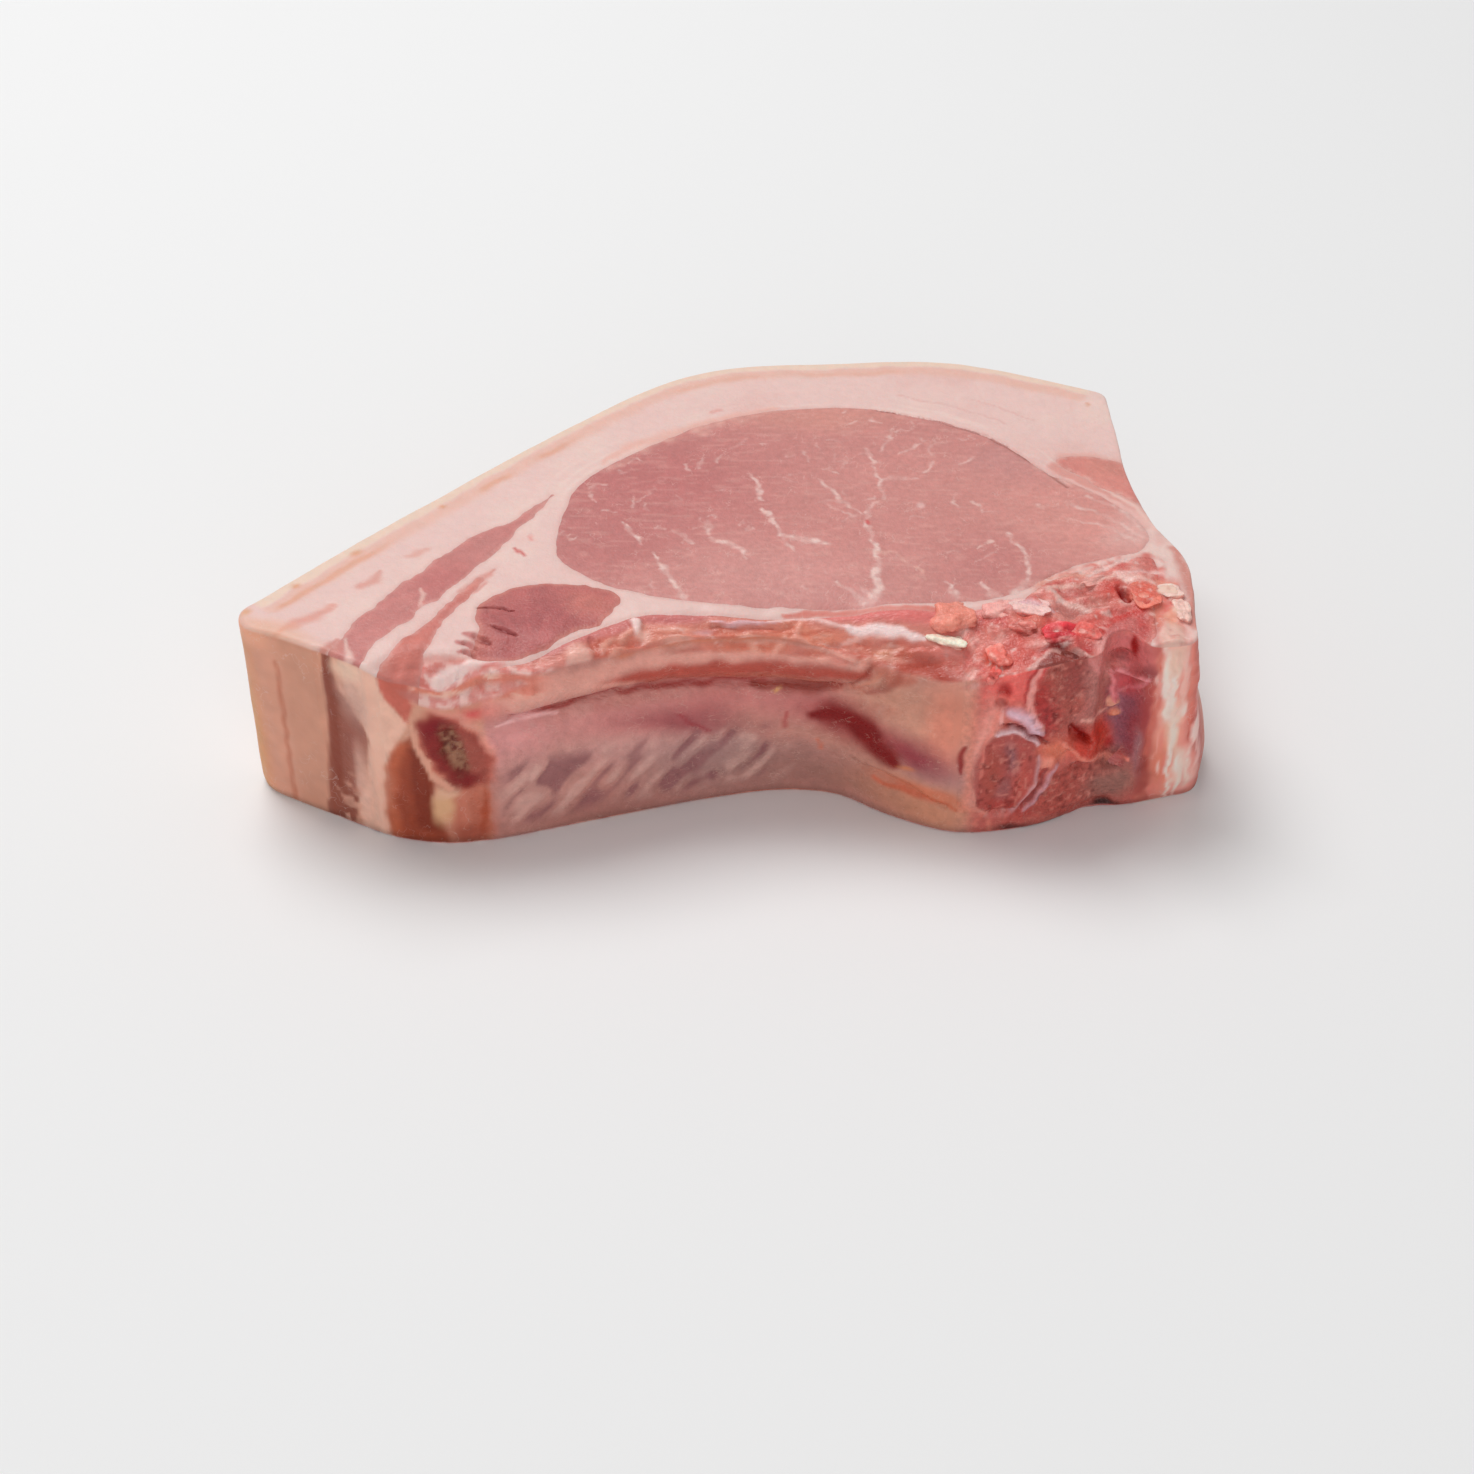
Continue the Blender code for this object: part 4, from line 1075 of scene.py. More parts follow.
def tissue(name, mottle, threads, skin, bleed):
    """Moist raw tissue: painted colour, fine mottling, pale threads and a fine wet skin.

    mottle is (size, strength), threads is (size, stretch, thickness, share, tone), skin is
    (size, height, stretch) in millimetres, and bleed is how much light sinks in.
    """
    material = bpy.data.materials.new(name)
    material.use_nodes = True
    tree = material.node_tree
    shader = tree.nodes["Principled BSDF"]
    places = object_places(tree)
    size, strength = mottle
    cloud = noise(tree, places, size, 4.0)
    light = ranged(tree, cloud, 0.3, 0.7, 1.0 - strength, 1.0 + strength)
    joined = tree.nodes.new("ShaderNodeVectorMath")
    joined.operation = "SCALE"
    tree.links.new(kept(tree, "paint", "Color"), joined.inputs[0])
    tree.links.new(light, joined.inputs["Scale"])
    colour = joined.outputs["Vector"]
    size, stretch, thickness, share, tone = threads
    wave = noise(tree, places, size, 2.5, stretch)
    middle = worked(tree, "ABSOLUTE", worked(tree, "SUBTRACT", wave, 0.5))
    thread = ranged(tree, middle, 0.0, thickness, share, 0.0)
    here = ranged(tree, noise(tree, places, 2.6 * size, 1.0), 0.5, 0.62, 0.0, 1.0)
    strand = worked(tree, "MULTIPLY", thread, here)
    mix = tree.nodes.new("ShaderNodeMix")
    mix.data_type = "RGBA"
    first, second = sockets(mix.inputs)
    tree.links.new(strand, mix.inputs["Factor"])
    tree.links.new(colour, first)
    second.default_value = (*shade(*tone), 1.0)
    tree.links.new(sockets(mix.outputs)[0], shader.inputs["Base Color"])
    size, height, stretch = skin
    fine = noise(tree, places, size, 3.0, stretch)
    uneven = ranged(tree, fine, 0.3, 0.7, -0.07, 0.07)
    rough = worked(tree, "ADD", kept(tree, "wet", "Fac"), uneven)
    tree.links.new(rough, shader.inputs["Roughness"])
    bump = tree.nodes.new("ShaderNodeBump")
    bump.inputs["Strength"].default_value = 1.0
    bump.inputs["Distance"].default_value = height * MM
    tree.links.new(fine, bump.inputs["Height"])
    tree.links.new(bump.outputs["Normal"], shader.inputs["Normal"])
    shader.inputs["IOR"].default_value = 1.4
    shader.inputs["Specular IOR Level"].default_value = 0.4
    shader.inputs["Subsurface Weight"].default_value = bleed
    shader.inputs["Subsurface Radius"].default_value = (1.0, 0.4, 0.3)
    shader.inputs["Subsurface Scale"].default_value = 0.8 * MM
    return material


def finish_paint(piece, colour, rough, material):
    """Keeps a piece's colours and roughness on its mesh and gives it its material."""
    colour = np.clip(colour, 0.0, 0.97)
    store(piece.data, "paint", "FLOAT_COLOR", np.column_stack([colour, np.ones(len(colour))]))
    store(piece.data, "wet", "FLOAT", np.full(len(colour), rough))
    piece.data.materials.clear()
    piece.data.materials.append(material)
    piece.data.shade_smooth()
    piece.data.set_sharp_from_angle(angle=math.radians(55.0))


EYE_LEAN = tissue(
    "eye_lean",
    mottle=(1.1, 0.07),
    threads=(1.8, (1.0, 0.7, 1.0), 0.018, 0.4, (236, 196, 186)),
    skin=(0.55, 0.11, (1.0, 1.0, 1.0)),
    bleed=0.15,
)
eye = cut("loin_eye_face", slab, "INTERSECT", [blades["loin_eye"]])
eye_places, _, _, _ = facing(eye.data)
eye_rough = 0.42 + 0.05 * ripple(eye_places, 6.0, 26)
finish_paint(eye, eye_paint(eye_places[:, :2]), eye_rough, EYE_LEAN)
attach(eye, "root")
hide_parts("loin_eye")

# --------------------------------------
# The walls. The belly cut shows the layers of rind, fat and lean side by side and the
# rib's sawn end at its corner; the front is the wet lining of the rib cage and then the
# sawn backbone. Pieces that meet on a wall share its paint.
# --------------------------------------
WALL_LIGHT = 0.8  # the light on the upright faces against that on the top
LINING_LIGHT = 0.7  # and on the hollow side of the rib cage
CHINE_LIGHT = 0.66  # and on the sawn backbone, which lies a little in its own shade


def between(spots, low, high, soft):
    """1 between two edges that bend with height: each is a list of (distance, height)."""
    at, z = spots.T
    edges = []
    for edge in (low, high):
        edge = np.array(edge, float)
        order = np.argsort(edge[:, 1])
        edges.append(np.interp(z, edge[order, 1], edge[order, 0]))
    low_end, high_end = low[0][1], low[-1][1]
    share = ease(at, edges[0] - soft, edges[0] + soft) * (1 - ease(at, edges[1] - soft, edges[1] + soft))
    return share * ease(z, low_end - 2.0 * soft, low_end) * (1 - ease(z, high_end, high_end + 2.0 * soft))


RIB_FRILL = [(37.4, 24), (38.0, 20), (39.4, 17.4), (40.6, 13.4), (40.2, 9.4), (41.2, 5.6), (42.4, 2.0)]
BELLY_BANDS = [
    ([(10.4, 0), (10.8, 12), (11.2, 31)], [(11.4, 0), (12, 20), (12, 31)], 0.6, (182, 104, 78), 0.75),
    ([(12.4, 0), (12.6, 38)], [(18.4, 0), (20.6, 24), (21, 38)], 1.2, (196, 140, 118), 0.8),
    (
        [(18.4, 0), (19.2, 8), (20.6, 16), (21.2, 26), (21.3, 38)],
        [(24, 0), (25, 5), (28, 11), (28.8, 17), (29.4, 22), (27, 25.5), (24.2, 30), (23.2, 38)],
        0.5, (142, 78, 64), 0.95,
    ),
    ([(20.8, 8), (21.4, 26), (21.6, 38)], [(22.4, 8), (23.4, 26), (23, 38)], 0.6, (132, 62, 46), 0.7),
    (
        [(26, 0), (25, 5), (28, 11), (29, 17), (29.4, 22), (27.4, 26), (26, 30), (24.6, 38)],
        [(32.6, 0), (31.6, 6), (31.8, 12), (32.8, 18), (35, 22), (36.8, 26), (34.4, 30), (32, 38)],
        0.5, (228, 178, 158), 1.0,
    ),
    ([(36.5, 26.5), (34.5, 29.5), (32.6, 33), (31.4, 38)], [(37.2, 26.5), (38.4, 30), (39, 38)], 0.5,
     (194, 100, 86), 0.95),
    ([(32.4, 0), (31.6, 6), (31.8, 12), (33.2, 18), (36, 22), (38.6, 25)], RIB_FRILL, 0.8, (150, 70, 50), 1),
    ([(31.8, 0), (31.4, 8), (32.2, 16), (34.6, 21)], [(34.2, 0), (33.6, 8), (34.6, 16), (37, 22)], 1,
     (186, 98, 70), 0.8),
    ([(37, 4), (36.6, 12), (37, 20)], [(41.6, 4), (40.4, 12), (38.6, 20)], 0.8, (118, 48, 36), 0.7),
]
BELLY_OVALS = [
    ((26.8, 11.6), (1.2, 6.4), 0, 0.6, (230, 186, 170), 0.8),
    ((27, 28), (2.6, 5), 14, 0.8, (188, 148, 136), 0.65),
    ((26.8, 17), (2, 7.5), 0, 0.9, (158, 100, 90), 0.5),
    ((26, 34.4), (2.6, 2), 0, 0.6, (226, 190, 168), 0.8),
    ((29, 12), (3, 6), 0, 0.8, (222, 172, 152), 0.5),
]
CORNER_OVALS = [
    ((46.6, 6), (3.6, 8), 0, 0.5, (186, 104, 84), 0.95),
    ((49, 7), (0.8, 5.6), -4, 0.7, (170, 78, 54), 0.85),
    ((45.6, 8), (1, 4.4), 0, 0.8, (200, 124, 104), 0.7),
    ((45.6, 2), (3.4, 2.4), 0, 0.8, (140, 62, 48), 0.6),
    ((42, 8.6), (1.8, 3.8), -8, 0.6, (214, 166, 128), 0.95),
    ((43, 11.6), (2.2, 1.2), 20, 0.7, (220, 172, 146), 0.85),
    ((44.8, 20.2), (5.3, 9), 30, 0.14, (196, 110, 92), 0.95),
    ((44.8, 20.2), (4.5, 8.2), 30, 0.2, (132, 46, 44), 1),
    ((47.2, 19.6), (2.3, 6.6), 26, 0.6, (166, 88, 76), 0.85),
    ((40.9, 25.4), (2.3, 2), 30, 0.7, (126, 28, 38), 0.8),
    ((45, 13.8), (3.2, 1.5), 10, 0.7, (122, 34, 36), 0.8),
    ((48, 27.8), (1.6, 0.9), 10, 0.9, (186, 26, 44), 0.9),
    ((49, 28), (4, 1.8), 0, 0.9, (214, 110, 104), 0.6),
]
CORNER_LINES = [
    ([(37.6, 25.4), (38.2, 21.4), (39.8, 18), (40.8, 14.6), (43, 12.6)], (0.5, 0.6, 0.7, 0.6), 0.5,
     (216, 156, 134), 0.9),
    ([(41.6, 29), (45.6, 27.6), (48.6, 24.6), (50.6, 20)], (0.8, 0.6, 0.6, 0.8), 0.9, (218, 146, 132), 0.6),
]


def belly_paint(spots):
    """The colours of the belly cut, by distance from the rind and height."""
    ragged = bent(spots, 0.35, 2.2, 101)
    at, z = spots.T
    colour = flat(spots, 206, 148, 126)
    colour = mixed(colour, shade(211, 147, 114), 1.0 - ease(at, 5.0, 8.5))
    ochre = patch(bent(spots, 1.5, 6.0, 102), (2.6, 14.0), (2.6, 26.0), 0.0, 0.6)
    colour = mixed(colour, shade(206, 146, 94), 0.75 * ochre)
    rim = ease(z, 31.5, 36.0) * (1.0 - ease(at, 9.0, 12.0))
    colour = mixed(colour, shade(228, 164, 136), 0.9 * rim)
    upper = ease(z, 30.0, 35.0) * ease(at, 11.0, 14.0)
    colour = mixed(colour, shade(214, 150, 124), upper)
    for low, high, soft, tone, share in BELLY_BANDS:
        colour = mixed(colour, shade(*tone), share * between(ragged, low, high, soft))
    colour = draw_patches(colour, ragged, BELLY_OVALS)
    muscle = patch(spots, (24.0, 4.0), (3.0, 7.0), 0.0, 0.5)
    torn = muscle * ease(ripple(bent(spots, 0.5, 1.0, 105), 1.5, 103), 0.1, 0.6)
    colour = mixed(colour, shade(214, 158, 138), 0.8 * torn)
    return colour * (1.0 + 0.06 * grain(spots, ((5.0, 0.6), (1.8, 0.6)), 104))[:, None]


def corner_paint(spots, colour):
    """The wall at the belly corner with the rib's sawn end and the lacy edge over it."""
    at, z = spots.T
    ragged = bent(spots, 0.45, 1.6, 191)
    lacy = ease(z, 29.4, 31.0) * ease(at, 37.0, 39.0) * (1.0 - ease(at, 58.0, 63.0))
    holes = grain(np.column_stack([at / 2.6 + 0.4 * z, z]), ((1.3, 0.7), (0.6, 0.4)), 63)
    colour = mixed(colour, shade(214, 124, 106), 0.85 * lacy)
    colour = mixed(colour, shade(234, 186, 168), 0.85 * lacy * ease(holes, 0.0, 0.45))
    colour = draw_patches(colour, ragged, CORNER_OVALS)
    colour = draw_lines(colour, ragged, CORNER_LINES)
    marrow = patch(ragged, *MARROW, 0.4)
    sponge = ripple(spots, 1.0, 152) + 0.6 * ripple(spots, 0.55, 153)
    colour = mixed(colour, shade(106, 52, 42), marrow)
    return mixed(colour, shade(152, 106, 84), marrow * ease(sponge, -0.3, 0.4))


FRONT_OVALS = [
    ((-20, 21), (26, 4.6), 0, 0.8, (196, 130, 126), 0.85),
    ((-38, 21), (5.6, 7), 0, 0.8, (204, 138, 136), 0.8),
    ((0, 21), (16, 3.6), 0, 0.8, (184, 112, 108), 0.8),
    ((-8, 18.6), (10, 2.6), -14, 0.9, (140, 66, 72), 0.75),
    ((-1, 16.4), (5, 2), -10, 0.9, (132, 68, 74), 0.6),
    ((-34, 11), (9, 7), 30, 0.8, (176, 130, 122), 0.8),
    ((37, 28.6), (3.6, 3.4), 0, 0.8, (220, 160, 144), 0.85),
    ((-13, 13.6), (17, 3), -6, 0.8, (192, 142, 136), 0.8),
    ((-2, 9), (15, 6), 0, 0.9, (148, 116, 112), 0.8),
    ((8, 15), (10, 3.6), -15, 0.8, (182, 124, 114), 0.7),
    ((30, 23.6), (10, 6.4), -8, 0.7, (196, 140, 120), 0.9),
    ((36, 22), (3, 8), 0, 0.9, (208, 126, 106), 0.75),
    ((24, 12), (12, 3), -12, 0.8, (186, 134, 118), 0.7),
    ((30, 4.6), (12, 4), -6, 0.7, (190, 130, 102), 0.85),
    ((33, 6.8), (7, 1.2), -10, 0.8, (194, 104, 76), 0.7),
    ((34, 11.6), (6, 2.2), -14, 0.8, (166, 122, 118), 0.7),
    ((14, 5), (12, 5), 0, 0.9, (146, 104, 96), 0.75),
    ((-22, 2.6), (18, 3), 0, 0.9, (142, 96, 90), 0.6),
]
FRONT_LINES = [
    ([(-20, 34.6), (-8, 35), (4, 34.8), (16, 34.2)], (0.8, 1.3, 1.4, 0.8), 0.7, (206, 122, 96), 0.85),
    ([(-22, 29), (-10, 29.6), (2, 29.2), (12, 28.8), (22, 29.2)],
     (1.2, 1.9, 2, 1.7, 1), 0.8, (174, 68, 54), 0.85),
    ([(-44, 30.4), (-30, 31.2), (-16, 32.4), (-4, 32.4), (10, 31.9), (20, 31.6), (28, 31)],
     (1.8, 1.5, 1.2, 1, 1, 0.8), 0.8, (222, 156, 142), 0.9),
    ([(-14, 27.4), (-2, 27), (10, 26.4), (17, 25.4)], (1, 1.4, 1.4), 0.9, (172, 74, 60), 0.8),
    ([(-44, 28.4), (-32, 29), (-24, 29.2), (-17, 28)], (1.6, 1.6, 0.7), 0.9, (222, 160, 146), 0.8),
    # painted shadow: the next two dark red lines lie in the groove under the crest's overhanging roll
    ([(-34, 25.5), (-26, 26), (-20, 26), (-8, 25.2), (0, 24.9), (5, 24.6)], (0.3, 0.4, 0.45, 0.6), 0.9,
     (152, 58, 54), 0.85),
    ([(3, 24.4), (9, 23.6), (14, 23.9), (19, 26)], (0.4, 1, 1.1, 0.7), 0.9, (136, 56, 46), 0.85),
    ([(-39, 24.4), (-34, 25), (-30, 24.8)], (0.3, 0.45, 0.3), 0.8, (232, 178, 176), 0.8),
    # painted shade: the next two dark lines lie in sunk folds of the lining
    ([(24.5, 33), (21.5, 28.5), (18, 25)], (0.4, 0.45), 0.9, (140, 58, 48), 0.7),
    ([(28, 31), (25.4, 27.6), (22, 24.5)], (0.6, 0.7, 0.4), 0.9, (140, 60, 50), 0.6),
    ([(26.4, 33), (23.6, 28.4), (20, 25)], (0.5, 0.4), 0.9, (204, 130, 108), 0.6),
    ([(22, 33), (26, 29.6), (30, 30)], (1.6, 1.2, 0.6), 0.9, (178, 92, 74), 0.6),
    ([(38.8, 18), (38.6, 15), (38.4, 12.4)], (0.35, 0.7, 0.3), 0.9, (132, 12, 18), 0.9),
    ([(40.4, 28), (40.2, 16), (39.4, 6)], (0.8, 0.7, 0.8), 0.9, (206, 128, 110), 0.6),
    ([(24, 7.2), (30, 6.6), (38, 5)], (0.4, 0.6, 0.4), 0.8, (186, 88, 62), 0.7),
    ([(-10, 20.6), (-7, 17.6), (-4, 15.4)], (0.3, 0.5, 0.3), 0.9, (146, 56, 62), 0.7),
    ([(8.6, 18.6), (8.8, 15.6)], (0.3, 0.4), 0.9, (166, 76, 72), 0.7),
    ([(14.6, 12.6), (14.8, 10.6)], (0.3, 0.4), 0.9, (190, 96, 70), 0.6),
]
LINING_FLECKS = [
    ((7.4, 23.2), (0.5, 0.4), 0, 0.6, (216, 166, 104), 0.8),
    ((29.4, 11.4), (1.3, 0.5), 10, 0.9, (196, 120, 76), 0.7),
]
BLOOD_OVALS = [
    ((30.6, 14.8), (5.5, 3), -24, 0.9, (134, 48, 62), 0.85),
    ((20, 17.2), (9, 4), -18, 0.6, (140, 44, 50), 0.65),
]
BLOOD_LINES = [
    ([(13, 17.8), (17, 18.8), (20.5, 18.8), (23, 16.8)], (0.9, 2.6, 2.4, 1.6)),
    ([(20.4, 18.4), (23.2, 15.6), (25.6, 13.2), (27.4, 11.6)], (1.8, 2.2, 2, 1)),
]


def front_paint(spots):
    """The colours of the rib cage's lining, by place along the front and height."""
    wavy = bent(spots, 0.5, 2.6, 181)
    colour = flat(spots, 184, 126, 116)
    colour = draw_patches(colour, bent(spots, 1.2, 5.0, 182), FRONT_OVALS)
    crease, creased = lining_creases(spots, (-41, -36), (5, 12))
    # grey-mauve where the creases sink and paler where they rise: partly the lining's own streaks, partly
    # painted shade and light over the relief
    colour = mixed(colour, shade(132, 84, 86), 0.8 * creased * ease(-crease, 0.15, 0.6))
    colour = mixed(colour, shade(204, 162, 152), 0.45 * creased * ease(crease, 0.1, 0.6))
    colour = draw_lines(colour, wavy, FRONT_LINES)
    colour = draw_patches(colour, wavy, BLOOD_OVALS)
    for line, half in BLOOD_LINES:
        colour = mixed(colour, shade(120, 0, 12), stroke(wavy, line, half, 0.8))
    colour = draw_patches(colour, bent(spots, 0.4, 0.8, 183), LINING_FLECKS)
    return colour * (1.0 + 0.05 * grain(spots, ((4.0, 0.6), (1.4, 0.5)), 184))[:, None]


CHINE_OVALS = [
    ((47, 31.8), (6, 3.6), 25, 0.7, (220, 98, 92), 0.9),
    ((50.6, 33.4), (1.5, 2), 0, 0.7, (196, 56, 62), 0.8),
    ((44.6, 30.2), (1.2, 1.6), 0, 0.6, (150, 6, 18), 0.95),
    ((44.5, 27), (1, 0.9), 0, 0.6, (130, 2, 12), 0.95),
    ((42, 17), (2.2, 9.5), -8, 0.7, (218, 146, 134), 0.9),
    ((45.8, 12.4), (5.5, 9.1), -6, 0.12, (156, 76, 72), 1),
    ((43.6, 12.4), (1.8, 6.4), 0, 0.8, (154, 74, 64), 0.8),
    ((47.2, 15.6), (0.9, 3), 14, 0.8, (132, 92, 96), 0.75),
    ((46, 9.6), (1.1, 2.8), -14, 0.8, (136, 86, 86), 0.6),
    ((49, 10), (1.5, 6), 0, 0.9, (182, 84, 74), 0.7),
    ((45.6, 5.6), (3, 1.8), 0, 0.9, (166, 62, 56), 0.7),
    ((50, 5), (4, 2.4), 20, 0.6, (158, 64, 58), 0.8),
    ((54.6, 28.4), (5.2, 9.2), -14, 0.16, (154, 78, 70), 1),
    ((57, 32), (2.6, 4), -14, 0.5, (138, 66, 62), 0.9),
    ((51.8, 23.6), (2.4, 4), 0, 0.8, (158, 50, 52), 0.8),
    ((50.6, 28.6), (1.8, 3), -20, 0.8, (156, 44, 44), 0.7),
    ((61.4, 27.8), (2.6, 7.6), 10, 0.6, (166, 104, 98), 0.95),
    ((62, 34), (2.6, 2.4), -20, 0.7, (190, 112, 108), 0.9),
    ((63.6, 21.6), (0.9, 5), 0, 0.6, (140, 64, 62), 0.85),
    ((59.6, 22.6), (3, 2), 20, 0.7, (158, 96, 90), 0.8),
    ((66.6, 32.4), (3.4, 4), 0, 0.6, (196, 110, 110), 0.9),
    ((69.4, 29.8), (1.6, 1.6), 15, 0.8, (126, 60, 64), 0.7),
    ((67.2, 33.6), (0.6, 2), 4, 0.5, (146, 0, 10), 0.95),
    ((67, 18.8), (3.2, 8.4), 4, 0.5, (136, 84, 96), 0.95),
    ((69.4, 19), (1.4, 7), -4, 0.8, (146, 54, 54), 0.8),
    ((66.2, 25.8), (1.9, 2.4), 0, 0.5, (180, 78, 82), 0.9),
    ((60.6, 15.6), (4.6, 3.2), -40, 0.5, (182, 60, 48), 0.9),
    ((58.4, 19), (1.2, 3), 35, 0.6, (124, 12, 16), 0.9),
    ((64.6, 12.6), (0.9, 0.8), 0, 0.6, (156, 20, 30), 0.8),
    ((54.2, 16.6), (2.6, 2.4), 0, 0.7, (196, 104, 82), 0.85),
    ((53, 14.6), (1.2, 1.2), 0, 0.6, (220, 136, 120), 0.85),
    ((57.6, 6.4), (6.8, 5.8), 6, 0.16, (162, 78, 70), 1),
    ((65.4, 6.6), (4.6, 4.2), 10, 0.6, (140, 96, 88), 0.95),
    ((64, 9.6), (3.6, 1.4), 0, 0.8, (158, 84, 76), 0.6),
    ((69.6, 12), (0.8, 5), 6, 0.7, (148, 112, 118), 0.85),
    ((70.8, 9), (1.4, 8), 4, 0.7, (148, 70, 64), 0.8),
    # painted shadow: the next two near-black ovals at the foot, where a gap under the backbone lies in shade
    ((64.6, 0.4), (2.6, 1), 0, 0.5, (48, 14, 12), 0.9),
    ((48, 0.4), (2.6, 1), 0, 0.7, (70, 30, 26), 0.8),
    ((64.4, 21.6), (1, 1), 0, 0.4, (226, 154, 132), 0.95),
    ((64.8, 19.2), (1.1, 0.8), 0, 0.4, (208, 128, 104), 0.95),
    ((74.6, 20), (3, 22), 2, 0.4, (216, 148, 134), 0.95),
    ((73.4, 32), (1.8, 4), 0, 0.7, (226, 184, 168), 0.8),
    ((75.8, 30), (1, 6), 0, 0.7, (214, 168, 158), 0.7),
    ((75, 15), (1.4, 8), 6, 0.8, (226, 178, 158), 0.8),
    ((78, 7), (3.4, 5), 10, 0.5, (236, 186, 174), 0.95),
    ((73.8, 9), (1.8, 6), 6, 0.8, (196, 108, 86), 0.8),
    ((80, 27), (1.8, 9), 4, 0.8, (188, 104, 92), 0.85),
    ((81.4, 12), (2.4, 10), 10, 0.8, (168, 78, 70), 0.85),
]
CHINE_LINES = [
    ([(50.8, 35), (49.2, 31), (49.2, 27), (50.8, 23), (52, 20.6)],
     (0.4, 0.7, 0.6, 0.4), 0.6, (216, 142, 134), 0.9),
    ([(50.2, 35), (48.4, 31), (48.4, 27.4)], (0.2, 0.35, 0.2), 0.8, (150, 44, 44), 0.8),
    ([(58.8, 21.8), (61.4, 20.4), (63.4, 20)], (0.3, 0.5, 0.3), 0.7, (212, 150, 138), 0.8),
    ([(44.6, 25.6), (44.4, 24), (45, 22.6)], (0.25, 0.3, 0.25), 0.7, (222, 150, 144), 0.9),
    ([(46.2, 25.6), (48.8, 24.2), (51.4, 20.8)], (0.9, 1.3, 0.7), 0.8, (206, 168, 180), 0.95),
    ([(44, 20.8), (46.6, 21.8), (49.2, 21), (51.2, 18.4)], (0.3, 0.5, 0.35), 0.8, (216, 184, 188), 0.85),
    # painted shade: this dark line lies in a sunk groove beside the disc's pale ring
    ([(45.2, 22.7), (48, 22.2), (50.6, 20.2), (52.6, 18.8)], (0.2, 0.3, 0.3), 0.8, (112, 48, 50), 0.85),
    ([(51.4, 15.6), (51.3, 10), (49, 5.6), (46.6, 3.4)], (0.3, 0.4, 0.3), 0.9, (190, 140, 142), 0.8),
    # painted shade: this dark line lies in a sunk groove of the sawn face
    ([(53.2, 13.2), (51.9, 8.8), (49.4, 5)], (0.22, 0.32, 0.22), 0.8, (128, 60, 60), 0.85),
    ([(54.8, 13.4), (53, 8.8), (50.2, 4.4)], (0.4, 0.55, 0.4), 0.9, (184, 136, 144), 0.8),
    ([(40.6, 9), (41.4, 5.4), (44, 3.2)], (0.4, 0.35, 0.3), 0.8, (206, 136, 122), 0.7),
    ([(42, 12), (41.8, 18), (43.4, 22), (44.2, 25)], (0.3, 0.35, 0.3), 0.9, (206, 118, 106), 0.6),
    ([(56, 18), (58.6, 14), (62, 11.6), (65.2, 10.4), (68, 10.9)], (0.4, 0.45, 0.3), 0.7,
     (222, 130, 114), 0.9),
    ([(59, 35), (61.4, 31), (64, 26.4)], (0.4, 0.35, 0.3), 0.9, (200, 124, 120), 0.7),
    ([(63.8, 28.4), (64.4, 24.6), (64.8, 22.4)], (0.35, 0.5, 0.5), 0.7, (206, 120, 124), 0.9),
    ([(63.6, 28.4), (66.6, 27.9), (69.6, 28.6)], (0.3, 0.35, 0.3), 0.7, (212, 134, 138), 0.9),
    ([(69.4, 28.2), (67.4, 25.4), (65.6, 23.8)], (0.25, 0.3), 0.8, (196, 110, 116), 0.8),
    ([(71.2, 34), (71.4, 24), (70.8, 12)], (0.5, 0.6, 0.5), 0.9, (190, 104, 92), 0.7),
    ([(76.6, 34), (77.2, 24), (78.2, 16)], (0.4, 0.5, 0.4), 0.9, (194, 112, 98), 0.7),
]


def chine_paint(spots):
    """The colours of the sawn backbone, by place across it and height."""
    ragged = bent(spots, 0.35, 1.6, 17)
    colour = flat(spots, 176, 92, 84)
    lumpy = grain(spots, ((2.6, 0.6), (1.2, 0.5)), 161)
    colour = mixed(colour, shade(206, 126, 110), 0.6 * ease(lumpy, 0.1, 0.7))
    colour = mixed(colour, shade(156, 56, 50), 0.5 * ease(-lumpy, 0.1, 0.7))
    colour = draw_patches(colour, ragged, CHINE_OVALS)
    colour = draw_lines(colour, ragged, CHINE_LINES)
    porous = np.max([patch(ragged, *end, 0.15) for end in (HEAD_END, DISC_END, BASE_END)], axis=0)
    pores = ease(ripple(spots, 0.7, 162) + 0.5 * ripple(spots, 1.3, 163), 0.25, 0.8)
    colour = mixed(colour, shade(92, 28, 28), 0.5 * pores * porous)
    light = ease(ripple(spots, 0.75, 164), 0.3, 0.9)
    colour = mixed(colour, shade(206, 134, 122), 0.45 * light * porous)
    x, z = ragged.T
    strands = ripple(np.column_stack([x / 0.8, z / 6.0]), 1.0, 165)
    edge = 72.4 - 2.0 * ease(z, 14.0, 30.0) + 0.9 * ripple(spots, 3.0, 166)
    column = ease(x - edge, 0.0, 0.8) * (1.0 - ease(x, 79.0, 82.0))
    colour = mixed(colour, shade(242, 206, 198), 0.7 * column * ease(strands, 0.0, 0.6))
    return mixed(colour, shade(206, 122, 112), 0.6 * column * ease(-strands, 0.1, 0.7))


